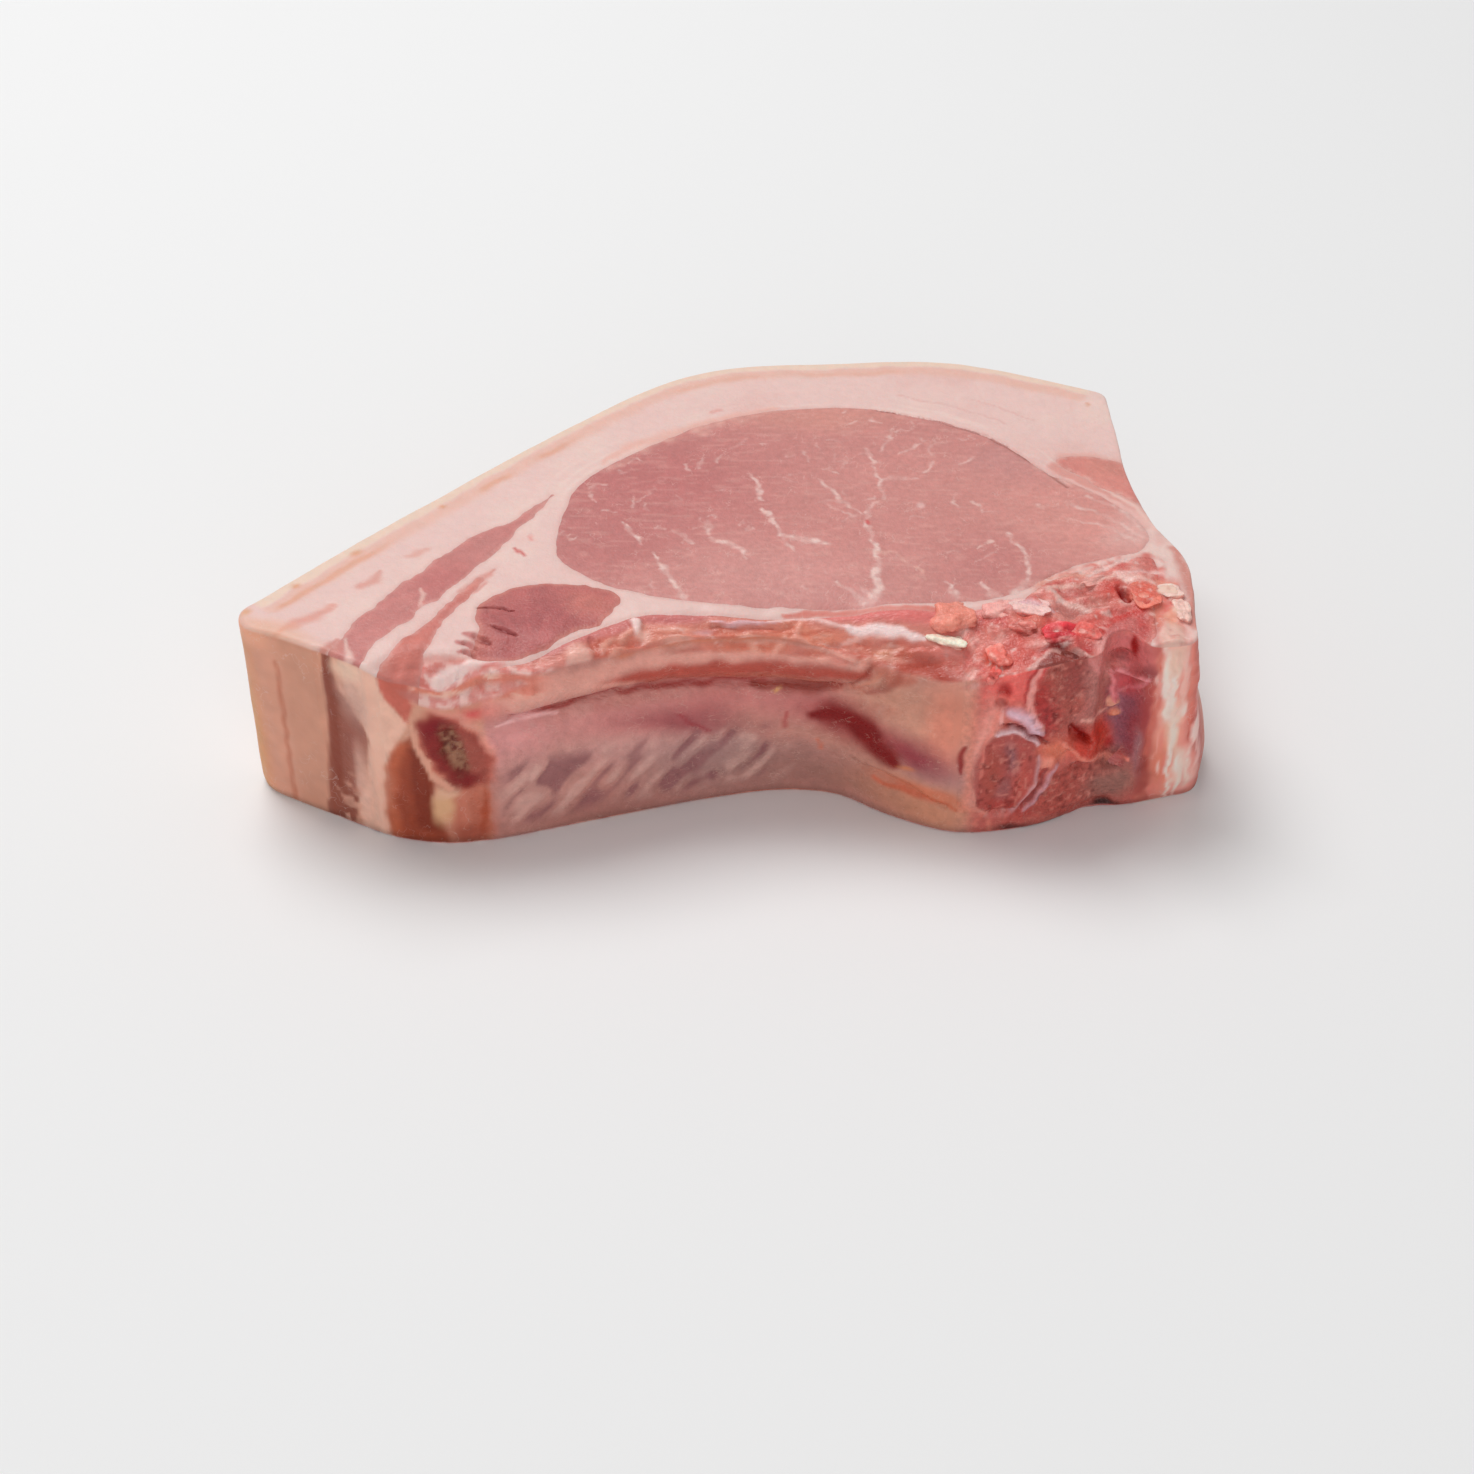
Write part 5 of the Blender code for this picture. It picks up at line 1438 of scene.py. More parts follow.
def rind_paint(spots):
    """The colours of the rind's outside, by run along it and height."""
    colour = flat(spots, 218, 176, 158)
    cloud = grain(spots, ((16.0, 0.5), (6.0, 0.4), (2.0, 0.2)), 221)
    colour = mixed(colour, shade(212, 158, 132), 0.6 * ease(cloud, 0.0, 0.6))
    colour = mixed(colour, shade(226, 188, 172), 0.6 * ease(-cloud, 0.0, 0.6))
    pores = ease(ripple(spots, 1.2, 223) + 0.4 * ripple(spots, 4.0, 224), 0.5, 0.9)
    colour = mixed(colour, shade(196, 140, 118), 0.45 * pores)
    creases = ripple(np.column_stack([spots[:, 0] / 9.0, spots[:, 1] / 1.3]), 1.0, 222)
    return colour * (1.0 + 0.07 * creases)[:, None]


def spine_paint(spots):
    """The colours of the spine-end side, by run along it and height: fat, strands and lean."""
    at, z = spots.T
    colour = flat(spots, 206, 138, 122)
    layers = ripple(np.column_stack([at / 1.6 + 0.5 * ripple(spots, 6.0, 141), z / 14.0]), 1.0, 142)
    colour = mixed(colour, shade(176, 90, 78), 0.8 * ease(layers, 0.1, 0.6))
    return mixed(colour, shade(226, 180, 160), 0.8 * ease(-layers, 0.15, 0.6))


def wall_paint(places, way, run):
    """The colours of all the walls, whichever piece a point belongs to, with painted shade along their foot.
    """
    upright = places[:, [0, 2]]
    along = np.column_stack([run, places[:, 2]])
    across = along - (belly_start, 0.0)
    shares = np.array(face_shares(places, run))
    shares /= shares.sum(0)
    paints = (
        rind_paint(along),
        belly_paint(across),
        front_paint(upright),
        chine_paint(upright),
        spine_paint(along),
    )
    colour = corner_paint(across, sum(share[:, None] * paint for share, paint in zip(shares, paints)))
    lining = LINING_LIGHT + (WALL_LIGHT - LINING_LIGHT) * ease(places[:, 2], 22.0, 27.0)
    light = WALL_LIGHT + shares[2] * (lining - WALL_LIGHT) + shares[3] * (CHINE_LIGHT - WALL_LIGHT)
    light += (1.0 - light) * ease(way[:, 2], 0.2, 0.9)
    # painted shade: the bottom 2 mm of every wall is darkened by up to 35 per cent, where the floor's shadow
    # falls
    foot = 1.0 - ease(places[:, 2], 0.3, 2.2)
    return colour * ((1.0 - 0.35 * foot) / light)[:, None]


def side_share(way):
    """How far each point faces sideways rather than up or down."""
    return ease(1.0 - np.abs(way[:, 2]), 0.4, 0.75)


# --------------------------------------
# The belly streaks: two thin belly muscles between sheets of fat, which run through to
# the belly cut. Their grain runs along them.
# --------------------------------------
CAP_OVALS = [
    ((-50, -25), (5, 3.6), 50, 0.8, (198, 119, 116), 0.8),
    ((-43, -14), (4, 3), 60, 0.8, (199, 130, 125), 0.7),
    ((-59, -38), (3, 6), -25, 0.8, (207, 133, 128), 0.7),
    ((-66.2, -44), (1.6, 3), -20, 0.8, (213, 143, 131), 0.7),
    ((-33.6, -1), (1.5, 4), -30, 0.8, (208, 146, 138), 0.7),
    ((-52.6, -30.8), (0.35, 0.7), 0, 0.6, (196, 70, 70), 0.9),
]
CAP_LINES = [
    ([(-53.7, -26.6), (-52.6, -28.6), (-52.9, -31), (-52.2, -32.4)], (0.2, 0.5, 0.4, 0.6), 0.8,
     (232, 186, 176), 0.85),
    ([(-64.2, -41.2), (-63.8, -44), (-63.2, -47)], (0.3, 0.4, 0.8), 0.8, (232, 190, 180), 0.9),
]
BELLY_STREAK_OVALS = [
    ((-53.6, -43), (3.5, 5), -20, 0.9, (211, 124, 112), 0.8),
    ((-48, -34), (1.6, 6), -25, 0.8, (206, 122, 114), 0.7),
    ((-44, -25), (1.2, 3), -45, 0.8, (219, 140, 128), 0.8),
    ((-57.6, -44.6), (1.2, 3.4), -10, 0.9, (226, 160, 146), 0.6),
]


def fibres(colour, spots, along, strength, seed):
    """Colours with the grain of a muscle that runs this way, in degrees."""
    turn = math.radians(along)
    x, y = spots.T
    run = (x * math.cos(turn) + y * math.sin(turn)) / 4.0
    across = (y * math.cos(turn) - x * math.sin(turn)) / 0.8
    lines = ripple(np.column_stack([run, across]), 1.0, seed)
    return colour * (1.0 + strength * lines)[:, None]


def edged(colour, spots, tone, reach, share):
    """Colours that turn towards a tone near the seams, where lean and fat grow together."""
    near = 1.0 - ease(gap_to(seam_tree, spots) + 0.3 * ripple(spots, 1.6, 114), 0.0, reach)
    return mixed(colour, shade(*tone), share * near)


STREAK_LEAN = tissue(
    "streak_lean",
    mottle=(1.8, 0.07),
    threads=(2.0, (1.0, 1.0, 1.0), 0.015, 0.3, (232, 184, 172)),
    skin=(0.6, 0.12, (1.0, 1.0, 1.0)),
    bleed=0.15,
)
STREAKS = (
    ("cap_streak", (204, 131, 126), CAP_OVALS, CAP_LINES, 52.0),
    ("belly_streak", (209, 128, 118), BELLY_STREAK_OVALS, [], 62.0),
)
for name, tone, ovals, lines, along in STREAKS:
    streak = cut(name + "_lean", slab, "INTERSECT", [blades[name]])
    places, way, run, _ = facing(streak.data)
    spots = places[:, :2]
    ragged = bent(spots, 0.5, 2.2, 111)
    colour = draw_patches(flat(spots, *tone), ragged, ovals)
    colour = fibres(draw_lines(colour, ragged, lines), spots, along, 0.05, 113)
    colour = edged(colour, spots, (222, 160, 152), 0.8, 0.6)
    side = side_share(way)
    finish_paint(streak, mixed(colour, wall_paint(places, way, run), side), 0.43 - 0.04 * side, STREAK_LEAN)
    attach(streak, "root")
    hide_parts(name)

# --------------------------------------
# The deep muscle: a short, darker muscle under the eye, cut across, whose bundles part
# in dark splits at the belly end. Fat lies all round it.
# --------------------------------------
DARK_OVALS = [
    ((-24, -31), (5, 3.4), -30, 0.9, (204, 122, 112), 0.85),
    ((-39.5, -30), (3.5, 3), 30, 0.9, (194, 113, 108), 0.7),
    ((-33, -41), (6, 2), 20, 0.8, (190, 106, 104), 0.7),
    ((-42.4, -41.5), (2.2, 3.4), 0, 0.7, (200, 116, 106), 0.8),
    ((-33.5, -35.5), (5, 3.5), 20, 0.9, (176, 94, 95), 0.7),
]
DARK_LEAN = tissue(
    "dark_lean",
    mottle=(1.5, 0.09),
    threads=(1.4, (0.5, 1.4, 1.0), 0.02, 0.35, (222, 160, 150)),
    skin=(0.5, 0.16, (1.0, 1.0, 1.0)),
    bleed=0.15,
)


def dark_paint(spots):
    colour = flat(spots, 184, 103, 101)
    colour = draw_patches(colour, bent(spots, 1.0, 3.0, 121), DARK_OVALS)
    x, y = spots.T
    fan = np.column_stack([np.arctan2(y + 44.0, x + 33.0) * 14.0, np.hypot(x + 33.0, y + 44.0) / 5.0])
    colour = colour * (1.0 + 0.09 * ripple(fan, 1.0, 122))[:, None]
    # painted shade: darker in the splits, which are also sunk as grooves
    for line, half in DARK_SPLITS:
        split_shade = stroke(bent(spots, 0.3, 1.2, 5), line, half, 0.7)
        colour = mixed(colour, shade(134, 58, 60), 0.6 * split_shade)
    return edged(colour, spots, (216, 142, 130), 1.3, 0.6)


deep_muscle = cut("deep_muscle_lean", slab, "INTERSECT", [blades["deep_muscle"]])
deep_places, _, _, _ = facing(deep_muscle.data)
finish_paint(deep_muscle, dark_paint(deep_places[:, :2]), 0.4, DARK_LEAN)
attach(deep_muscle, "root")
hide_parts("deep_muscle")

# --------------------------------------
# The edge lean: the tip of a back muscle at the spine end, between the eye and the
# side where the backbone was. Its grain runs down and outward, and its top is ragged.
# --------------------------------------
EDGE_OVALS = [
    ((61, 10), (3, 4), 0, 0.9, (209, 130, 122), 0.7),
    ((68, 11), (4, 3), -20, 0.9, (219, 145, 133), 0.7),
    ((73, 3), (3, 6), 15, 0.9, (214, 137, 128), 0.7),
    ((72.4, -5), (3, 2.6), 0, 0.9, (224, 160, 148), 0.8),
]
EDGE_LINES = [
    ([(61.4, 8.4), (64, 4.6), (66.4, 2.4)], (0.7, 0.9, 0.4), 0.9, (232, 178, 166), 0.7),
    ([(66, 4), (68.6, 0), (70.4, -4)], (0.4, 0.6, 0.5), 0.9, (234, 186, 174), 0.8),
    ([(71, -2), (73.4, -5.6)], (0.5, 0.8), 0.9, (238, 196, 184), 0.7),
]


def edge_paint(spots):
    colour = flat(spots, 215, 140, 130)
    colour = draw_patches(colour, bent(spots, 0.8, 2.5, 131), EDGE_OVALS)
    colour = fibres(colour, spots, -62.0, 0.1, 132)
    colour = draw_lines(colour, bent(spots, 0.5, 1.6, 133), EDGE_LINES)
    torn = 0.3 + 0.7 * ease(ripple(spots, 1.3, 134), -0.3, 0.5)
    fade = 1.0 - ease(gap_to(seam_tree, spots), 0.1, 1.3)
    return mixed(colour, shade(230, 176, 166), 0.7 * fade * torn)


edge_lean = cut("edge_lean_tip", slab, "INTERSECT", [blades["edge_lean"]])
edge_places, edge_way, edge_run, _ = facing(edge_lean.data)
edge_wall = np.column_stack([edge_run, edge_places[:, 2]])
edge_side = fibres(flat(edge_places, 190, 104, 92) / WALL_LIGHT, edge_wall, 80.0, 0.12, 135)
edge_colour = mixed(edge_paint(edge_places[:, :2]), edge_side, side_share(edge_way))
finish_paint(edge_lean, edge_colour, 0.42, STREAK_LEAN)
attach(edge_lean, "root")
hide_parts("edge_lean")

# --------------------------------------
# The rib bone: one rib, sawn across at the belly end, where its marrow shows, and its
# head at the spine end, capped with pale cartilage. It lies in the meat of the front.
# --------------------------------------
CARRY_OUT = 2.0  # how far a bone's cut ends are carried past the slab for its cutter
AT_FACE = 0.3
BONE_VOXEL = 0.5


def bone_cutter(name, node):
    """A smooth copy of a CAD bone whose open ends run on through the slab's faces."""
    shape = bmesh.new()
    shape.from_mesh(node.data)
    bmesh.ops.remove_doubles(shape, verts=shape.verts, dist=1e-6)
    mesh = bpy.data.meshes.new(name)
    shape.to_mesh(mesh)
    shape.free()
    places = places_of(mesh)
    smooth = tree_of(slab_points)
    for i, place in enumerate(places):
        _, near, gap = smooth.find(place)
        offset = (place - slab_points[near]) @ slab_way[near]
        if gap < 1.2 and abs(offset) < AT_FACE:
            places[i] = place + CARRY_OUT * slab_way[near]
    mesh.vertices.foreach_set("co", (places * MM).astype(np.float32).ravel())
    made = placed(name, mesh)
    even = made.modifiers.new("even", "REMESH")
    even.mode = "VOXEL"
    even.voxel_size = BONE_VOXEL * MM
    soft = made.modifiers.new("soft", "SMOOTH")
    soft.factor = 0.5
    soft.iterations = 8
    graph = bpy.context.evaluated_depsgraph_get()
    graph.update()
    done = bpy.data.meshes.new_from_object(made.evaluated_get(graph))
    made.modifiers.clear()
    made.data = done
    return made


def bone_material(name, mottle):
    """Sawn bone; the mottling is its marrow."""
    return tissue(
        name,
        mottle,
        threads=(1.0, (1.0, 1.0, 1.0), 0.025, 0.25, (222, 170, 152)),
        skin=(0.42, 0.2, (1.0, 1.0, 1.0)),
        bleed=0.1,
    )


RIB_BONE = bone_material("rib_bone", (1.4, 0.1))
rib_cutter = bone_cutter("rib_cutter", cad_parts["rib_bone"])
rib_bone = cut("rib_bone_sawn", slab, "INTERSECT", [rib_cutter])
rib_places, rib_way, rib_run, _ = facing(rib_bone.data)
finish_paint(rib_bone, wall_paint(rib_places, rib_way, rib_run), 0.42, RIB_BONE)
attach(rib_bone, "root")
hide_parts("rib_bone")

# --------------------------------------
# The backbone: half of one joint of the spine, sawn down its middle. Red marrow fills
# its disc and base, and the spinal canal runs through as a smooth hollow.
# --------------------------------------
SPONGY_BONE = bone_material("spongy_bone", (0.8, 0.2))


def cut_beside(name, cutter, neighbours):
    """The part of the slab inside a cutter, less what its neighbours' cutters take."""
    whole = cut(name + "_whole", slab, "INTERSECT", [cutter])
    made = cut(name, whole, "DIFFERENCE", neighbours)
    bpy.data.objects.remove(whole)
    return made


chine_cutter = bone_cutter("chine_cutter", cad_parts["chine_bone"])
chine_bone = cut_beside("chine_bone_sawn", chine_cutter, [rib_cutter])
chine_places, chine_way, chine_run, _ = facing(chine_bone.data)
finish_paint(chine_bone, wall_paint(chine_places, chine_way, chine_run), 0.38, SPONGY_BONE)
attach(chine_bone, "root")
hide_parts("chine_bone")

# --------------------------------------
# The rib meat: thin muscles and fat over the ribs. Torn and folded along its top, it
# turns down at the crest into the smooth wet lining of the rib cage.
# --------------------------------------
STRIP_OVALS = [
    ((-12, -34.6), (8, 1.5), 3, 0.7, (202, 118, 112), 0.8),
    ((-11, -38), (6, 1.8), 5, 0.7, (216, 142, 118), 0.9),
    ((-20, -42), (3.6, 4.4), -20, 0.8, (206, 124, 100), 0.9),
    ((-36, -46), (8, 1.8), 20, 0.8, (214, 140, 122), 0.7),
    ((3, -38), (8, 2), 0, 0.7, (202, 112, 86), 0.9),
    ((13, -36.6), (7, 1.8), -4, 0.7, (212, 126, 98), 0.9),
    ((26, -39.4), (6, 1.6), -6, 0.7, (202, 112, 88), 0.9),
    ((24.4, -39.2), (1.6, 1.2), 0, 0.8, (208, 138, 104), 0.8),
    ((34, -39.6), (6, 1), -10, 0.7, (210, 120, 104), 0.9),
    ((34, -42.6), (8.5, 2), -12, 0.7, (168, 70, 56), 0.9),
    ((38, -36), (3, 1.6), -10, 0.8, (200, 96, 84), 0.8),
]
STRIP_LINES = [
    ([(-2, -32.6), (8, -32.6), (16, -32.6), (26, -33.2), (36, -34.2)], (0.3, 1, 1.4, 1.6, 1.8), 0.5,
     (219, 128, 117), 0.95),
    ([(20, -33.6), (28, -33.6), (35, -34.6)], (0.4, 1, 0.8), 0.8, (214, 112, 102), 0.7),
    ([(10, -31.2), (20, -30.9), (30, -31.2), (34, -31.8)], (0.2, 0.4, 0.45, 0.3), 0.8, (238, 200, 190), 0.85),
    ([(-43, -46.2), (-36, -44.6), (-28, -41.8), (-20, -37.8), (-14, -33.9), (-6, -34.2)], (0.7, 1.2, 0.9),
     0.6, (200, 118, 108), 0.95),
    ([(-49, -48.2), (-43, -46.4), (-37, -43.6), (-30, -41.4), (-25, -38.5), (-20, -35), (-15, -32.6)],
     (0.9, 0.5, 0.7), 0.5, (236, 204, 188), 0.95),
    ([(-21, -44), (-19, -41), (-17.4, -38)], (0.5, 0.7, 0.4), 0.8, (222, 152, 128), 0.8),
    ([(-4, -35.4), (0, -35.5), (4, -35.2), (8, -34.4)], (0.2, 0.3, 0.25), 0.6, (226, 184, 180), 0.85),
    ([(6, -34.6), (10, -33.8), (14, -34), (19, -35.4)], (0.3, 0.4, 0.5), 0.6, (234, 190, 174), 0.85),
    ([(19, -35.6), (22, -36), (26, -36.3), (30, -37.2), (32, -37.8)], (0.5, 0.9, 0.9, 0.4), 0.5,
     (238, 208, 194), 0.95),
    ([(2.6, -37.2), (3.6, -38.6), (5.6, -40)], (0.4, 0.6, 0.4), 0.8, (226, 158, 132), 0.8),
    ([(8.6, -37), (7.4, -38.4), (6.6, -39.6)], (0.4, 0.5, 0.3), 0.8, (224, 160, 136), 0.7),
    ([(11.6, -34.8), (10.6, -37), (12.4, -38)], (0.4, 0.6, 0.4), 0.8, (224, 154, 130), 0.8),
    # painted shade: this dark line lies in a sunk groove of the strip
    ([(-22.6, -40.6), (-22.8, -43.6), (-24, -46.6)], (0.3, 0.4, 0.3), 0.8, (184, 88, 70), 0.7),
    ([(22.6, -41), (21.4, -44), (19.4, -47)], (0.4, 0.5, 0.4), 0.8, (206, 132, 112), 0.7),
    ([(35, -39.4), (39, -40.6), (43, -43.4), (45, -47)], (0.5, 0.6, 0.7), 0.8, (228, 146, 130), 0.8),
]
STRIP_CAST = (1.14, 1.15, 1.3)  # makes up for the shade of the folds and the red that they share
STRIP_BLOB_OVALS = [
    ((-25.6, -44.4), (1.8, 2.5), 10, 0.5, (230, 174, 152), 0.9),
    ((-16.4, -37), (0.8, 1.6), 15, 0.4, (238, 206, 190), 0.95),
    ((-15.2, -38.6), (1, 0.8), 0, 0.8, (230, 178, 156), 0.8),
    ((-5.4, -37), (1.6, 0.5), 10, 0.8, (216, 160, 152), 0.7),
    ((39.6, -36.4), (2.4, 0.7), 25, 0.8, (226, 160, 152), 0.7),
]


def strip_paint(spots):
    """The colours of the torn strip on top, from its seam to the crest."""
    ragged = bent(spots, 0.35, 1.7, 6)
    x, y = spots.T
    back = gap_to(torn_tree, spots)
    colour = flat(spots, 208, 130, 112)
    colour = draw_patches(colour, bent(spots, 1.0, 3.5, 171), STRIP_OVALS)
    folds = strip_folds(spots, back)
    thin_highlights = ripple(np.column_stack([x / 3.0, back / 0.5 + ripple(spots, 3.0, 172)]), 1.0, 173)
    deep = ease(back, 1.5, 3.0) * (1.0 - ease(x, 26.0, 32.0)) * ease(x, -40.0, -30.0)
    # painted light and shade over the folds: paler on their crests, darker in their troughs, with pale
    # painted highlight streaks
    colour = mixed(colour, shade(228, 168, 144), 0.55 * deep * ease(folds, 0.15, 0.7))
    colour = mixed(colour, shade(188, 92, 72), 0.55 * deep * ease(-folds, 0.25, 0.8))
    colour = mixed(colour, shade(232, 184, 166), 0.5 * deep * ease(thin_highlights, 0.45, 0.8))
    frill = ease(-y, 44.8, 47.2) * (1.0 - ease(x, -33.0, -24.0))
    lacy = grain(np.column_stack([x / 1.7 + 0.5 * y, y]), ((1.0, 0.7), (0.55, 0.6)), 31)
    colour = mixed(colour, shade(224, 148, 134), 0.8 * frill)
    colour = mixed(colour, shade(238, 194, 176), 0.9 * frill * ease(lacy, 0.0, 0.4))
    colour = mixed(colour, shade(206, 108, 92), 0.6 * frill * ease(-lacy, 0.2, 0.5))
    colour = draw_lines(colour, ragged, STRIP_LINES)
    colour = draw_patches(colour, ragged, STRIP_BLOB_OVALS)
    # painted shade: darker in the sunk grooves of the torn strip
    for line, half, low in STRIP_GROOVES:
        groove_shade = stroke(ragged, line, [0.8 * h for h in half], 0.8)
        colour = mixed(colour, shade(180, 84, 66), 0.8 * low * groove_shade)
    return colour * STRIP_CAST


HEAP_OVALS = [
    ((72.2, -18.8), (4.6, 2.6), 55, 0.5, (212, 122, 113), 0.9),
    ((57.2, -32.4), (3.8, 1.7), -5, 0.5, (200, 128, 120), 0.95),
    ((61.6, -30.2), (3, 1.3), 10, 0.6, (210, 136, 126), 0.9),
    ((58.2, -27.4), (3.4, 1.5), 12, 0.6, (205, 122, 114), 0.9),
    ((62.2, -26.6), (1.2, 2.2), -10, 0.6, (214, 130, 120), 0.8),
    ((49, -38), (3, 1.9), 0, 0.6, (202, 108, 100), 0.9),
    ((41.5, -35.4), (2.4, 1.1), 10, 0.6, (200, 96, 88), 0.8),
    ((64.2, -27.2), (2.3, 2.4), 0, 0.6, (214, 88, 78), 0.9),
    ((66.2, -28.6), (1, 2.2), 8, 0.6, (150, 26, 22), 0.95),
    ((69.6, -29), (2.4, 4), 0, 0.5, (232, 112, 96), 0.95),
    ((68, -33), (3.4, 1.2), 22, 0.7, (216, 84, 74), 0.8),
    ((62.6, -34.4), (3.6, 1.4), 26, 0.7, (224, 104, 94), 0.85),
    ((56.6, -38.4), (4.4, 2.5), 10, 0.7, (226, 76, 76), 0.95),
    ((59, -37.2), (1.6, 1.2), 10, 0.7, (238, 108, 98), 0.8),
    ((52.8, -37.6), (1.3, 2.6), 10, 0.8, (200, 62, 64), 0.8),
    ((50, -35.2), (2.6, 1.6), 0, 0.8, (226, 120, 104), 0.8),
    ((56.8, -35), (2.8, 0.9), 0, 0.7, (216, 128, 118), 0.8),
    ((46.4, -42.6), (3.4, 4.2), 10, 0.8, (214, 96, 88), 0.9),
    ((43.2, -42.4), (1.2, 2.2), 25, 0.6, (232, 100, 82), 0.9),
    ((44.8, -34.6), (1.6, 0.9), 20, 0.8, (220, 96, 92), 0.8),
    ((66, -38.4), (4.2, 5.6), -8, 0.5, (206, 112, 108), 0.95),
    ((62.8, -41.6), (2, 3.6), -8, 0.8, (204, 122, 120), 0.8),
    ((68.8, -36), (1.3, 3.4), -14, 0.8, (198, 84, 80), 0.8),
    ((66.7, -43.2), (0.6, 2.6), 0, 0.5, (146, 8, 14), 0.95),
    ((54.8, -47), (5.2, 4.6), 0, 0.15, (148, 72, 66), 0.95),
    ((53.4, -41.6), (2.8, 0.7), 8, 0.6, (122, 4, 12), 0.9),
    ((58.4, -42.4), (1.6, 1.2), 0, 0.8, (180, 40, 44), 0.8),
    ((72.8, -40.6), (1.9, 7), -8, 0.5, (235, 192, 178), 0.95),
    ((73.6, -35), (1.2, 2.4), 0, 0.6, (236, 162, 138), 0.85),
    ((71, -34.4), (1, 4), -8, 0.8, (226, 140, 122), 0.8),
    ((74, -28.2), (1.8, 1.5), 0, 0.4, (244, 208, 190), 0.95),
    ((75.2, -33), (1.2, 1.9), 0, 0.5, (240, 202, 184), 0.9),
    ((73.6, -25.4), (2.2, 1), 0, 0.8, (236, 150, 128), 0.8),
    ((77.6, -28), (0.9, 14), 2, 0.7, (214, 134, 120), 0.85),
]
HEAP_LINES = [
    ([(47, -29.2), (50.4, -27), (54, -24), (60.6, -23)], (0.7, 1, 0.9, 0.7), 0.8, (232, 164, 148), 0.85),
    ([(60.6, -23.4), (64, -21), (68, -18.2), (73.6, -12.6)],
     (0.5, 0.5, 0.6, 0.8), 0.6, (238, 196, 188), 0.95),
    ([(54, -26.8), (57.6, -25.8), (61, -25.4), (65.6, -22.8)], (0.4, 0.4, 0.4), 0.7, (236, 184, 172), 0.9),
    ([(65.6, -23.2), (70, -22.2), (74.4, -22.4), (76.6, -22)], (0.5, 0.5, 0.4), 0.7, (238, 184, 178), 0.9),
    ([(53.6, -27.4), (55, -29.6), (56.6, -30.8), (60.4, -32.4), (59.8, -33.8)], (0.5, 0.6, 0.4, 0.5), 0.7,
     (238, 192, 182), 0.9),
    ([(40.4, -33), (42.4, -31), (45, -31.6), (47, -32.6)], (0.6, 1.1, 1.3, 0.8), 0.8, (242, 164, 158), 0.9),
    ([(47.6, -30.6), (49.6, -31.6), (51.6, -33), (53.6, -33.4)],
     (0.8, 1.3, 1, 0.5), 0.8, (234, 184, 188), 0.9),
    ([(66.4, -23.8), (69.4, -24.2), (71.4, -26)], (0.8, 0.9, 0.6), 0.8, (240, 190, 180), 0.85),
    ([(60.2, -41), (61.4, -37.6), (64, -35.4), (69, -32.8)], (0.6, 0.7, 0.6), 0.8, (206, 62, 56), 0.75),
    ([(49.4, -46.6), (50.4, -44), (53, -42.5), (57, -42.8), (59.4, -44.4)], (0.5, 0.45, 0.35), 0.6,
     (220, 164, 156), 0.9),
    ([(60.6, -45), (61, -41.6), (60, -38.6)], (0.6, 0.9, 0.5), 0.8, (230, 156, 150), 0.8),
    ([(70.2, -34), (70.6, -39), (70.4, -44)], (0.4, 0.4), 0.9, (196, 104, 96), 0.6),
    ([(76.6, -16), (76.8, -24), (76.2, -33), (74.6, -44)], (0.3, 0.35, 0.4), 0.8, (236, 186, 176), 0.8),
]


def heap_paint(spots):
    """The colours of the ragged top over the backbone."""
    colour = flat(spots, 224, 136, 126)
    lumpy = grain(spots, ((3.0, 0.5), (1.5, 0.5), (0.8, 0.25)), 201)
    colour = mixed(colour, shade(244, 186, 176), 0.85 * ease(lumpy, 0.05, 0.5))
    colour = mixed(colour, shade(216, 96, 90), 0.65 * ease(-lumpy, 0.1, 0.5))
    ragged = bent(spots, 0.5, 1.9, 7)
    colour = draw_patches(colour, ragged, HEAP_OVALS)
    colour = draw_lines(colour, ragged, HEAP_LINES)
    glint = grain(spots, ((1.2, 0.6), (0.6, 0.4)), 202)
    rough = 1.0 - patch(spots, *CANAL, 0.3)
    bare = rough * (1.0 - patch(spots, (55.0, -47.0), (5.0, 4.6), 0.0, 0.3))
    colour = mixed(colour, shade(248, 216, 208), 0.6 * bare * ease(glint, 0.3, 0.7))
    return mixed(colour, shade(190, 56, 58), 0.45 * bare * ease(-glint, 0.3, 0.8))


def torn_paint(spots):
    """The torn strip and the backbone meat, which run into each other."""
    strip = strip_paint(spots)
    return strip + (heap_paint(spots) - strip) * heap_share(spots)[:, None]


RIB_MEAT = tissue(
    "rib_meat",
    mottle=(1.7, 0.08),
    threads=(1.5, (0.6, 1.6, 1.2), 0.02, 0.3, (238, 196, 180)),
    skin=(0.7, 0.2, (0.7, 1.4, 1.0)),
    bleed=0.15,
)
rib_meat = cut_beside("rib_meat_lining", blades["rib_meat"], [rib_cutter, chine_cutter])
meat_places, meat_way, meat_run, _ = facing(rib_meat.data)
meat_side = side_share(meat_way)
meat_colour = mixed(torn_paint(meat_places[:, :2]), wall_paint(meat_places, meat_way, meat_run), meat_side)
finish_paint(rib_meat, meat_colour, 0.3 + 0.02 * meat_side, RIB_MEAT)
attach(rib_meat, "root")
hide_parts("rib_meat")

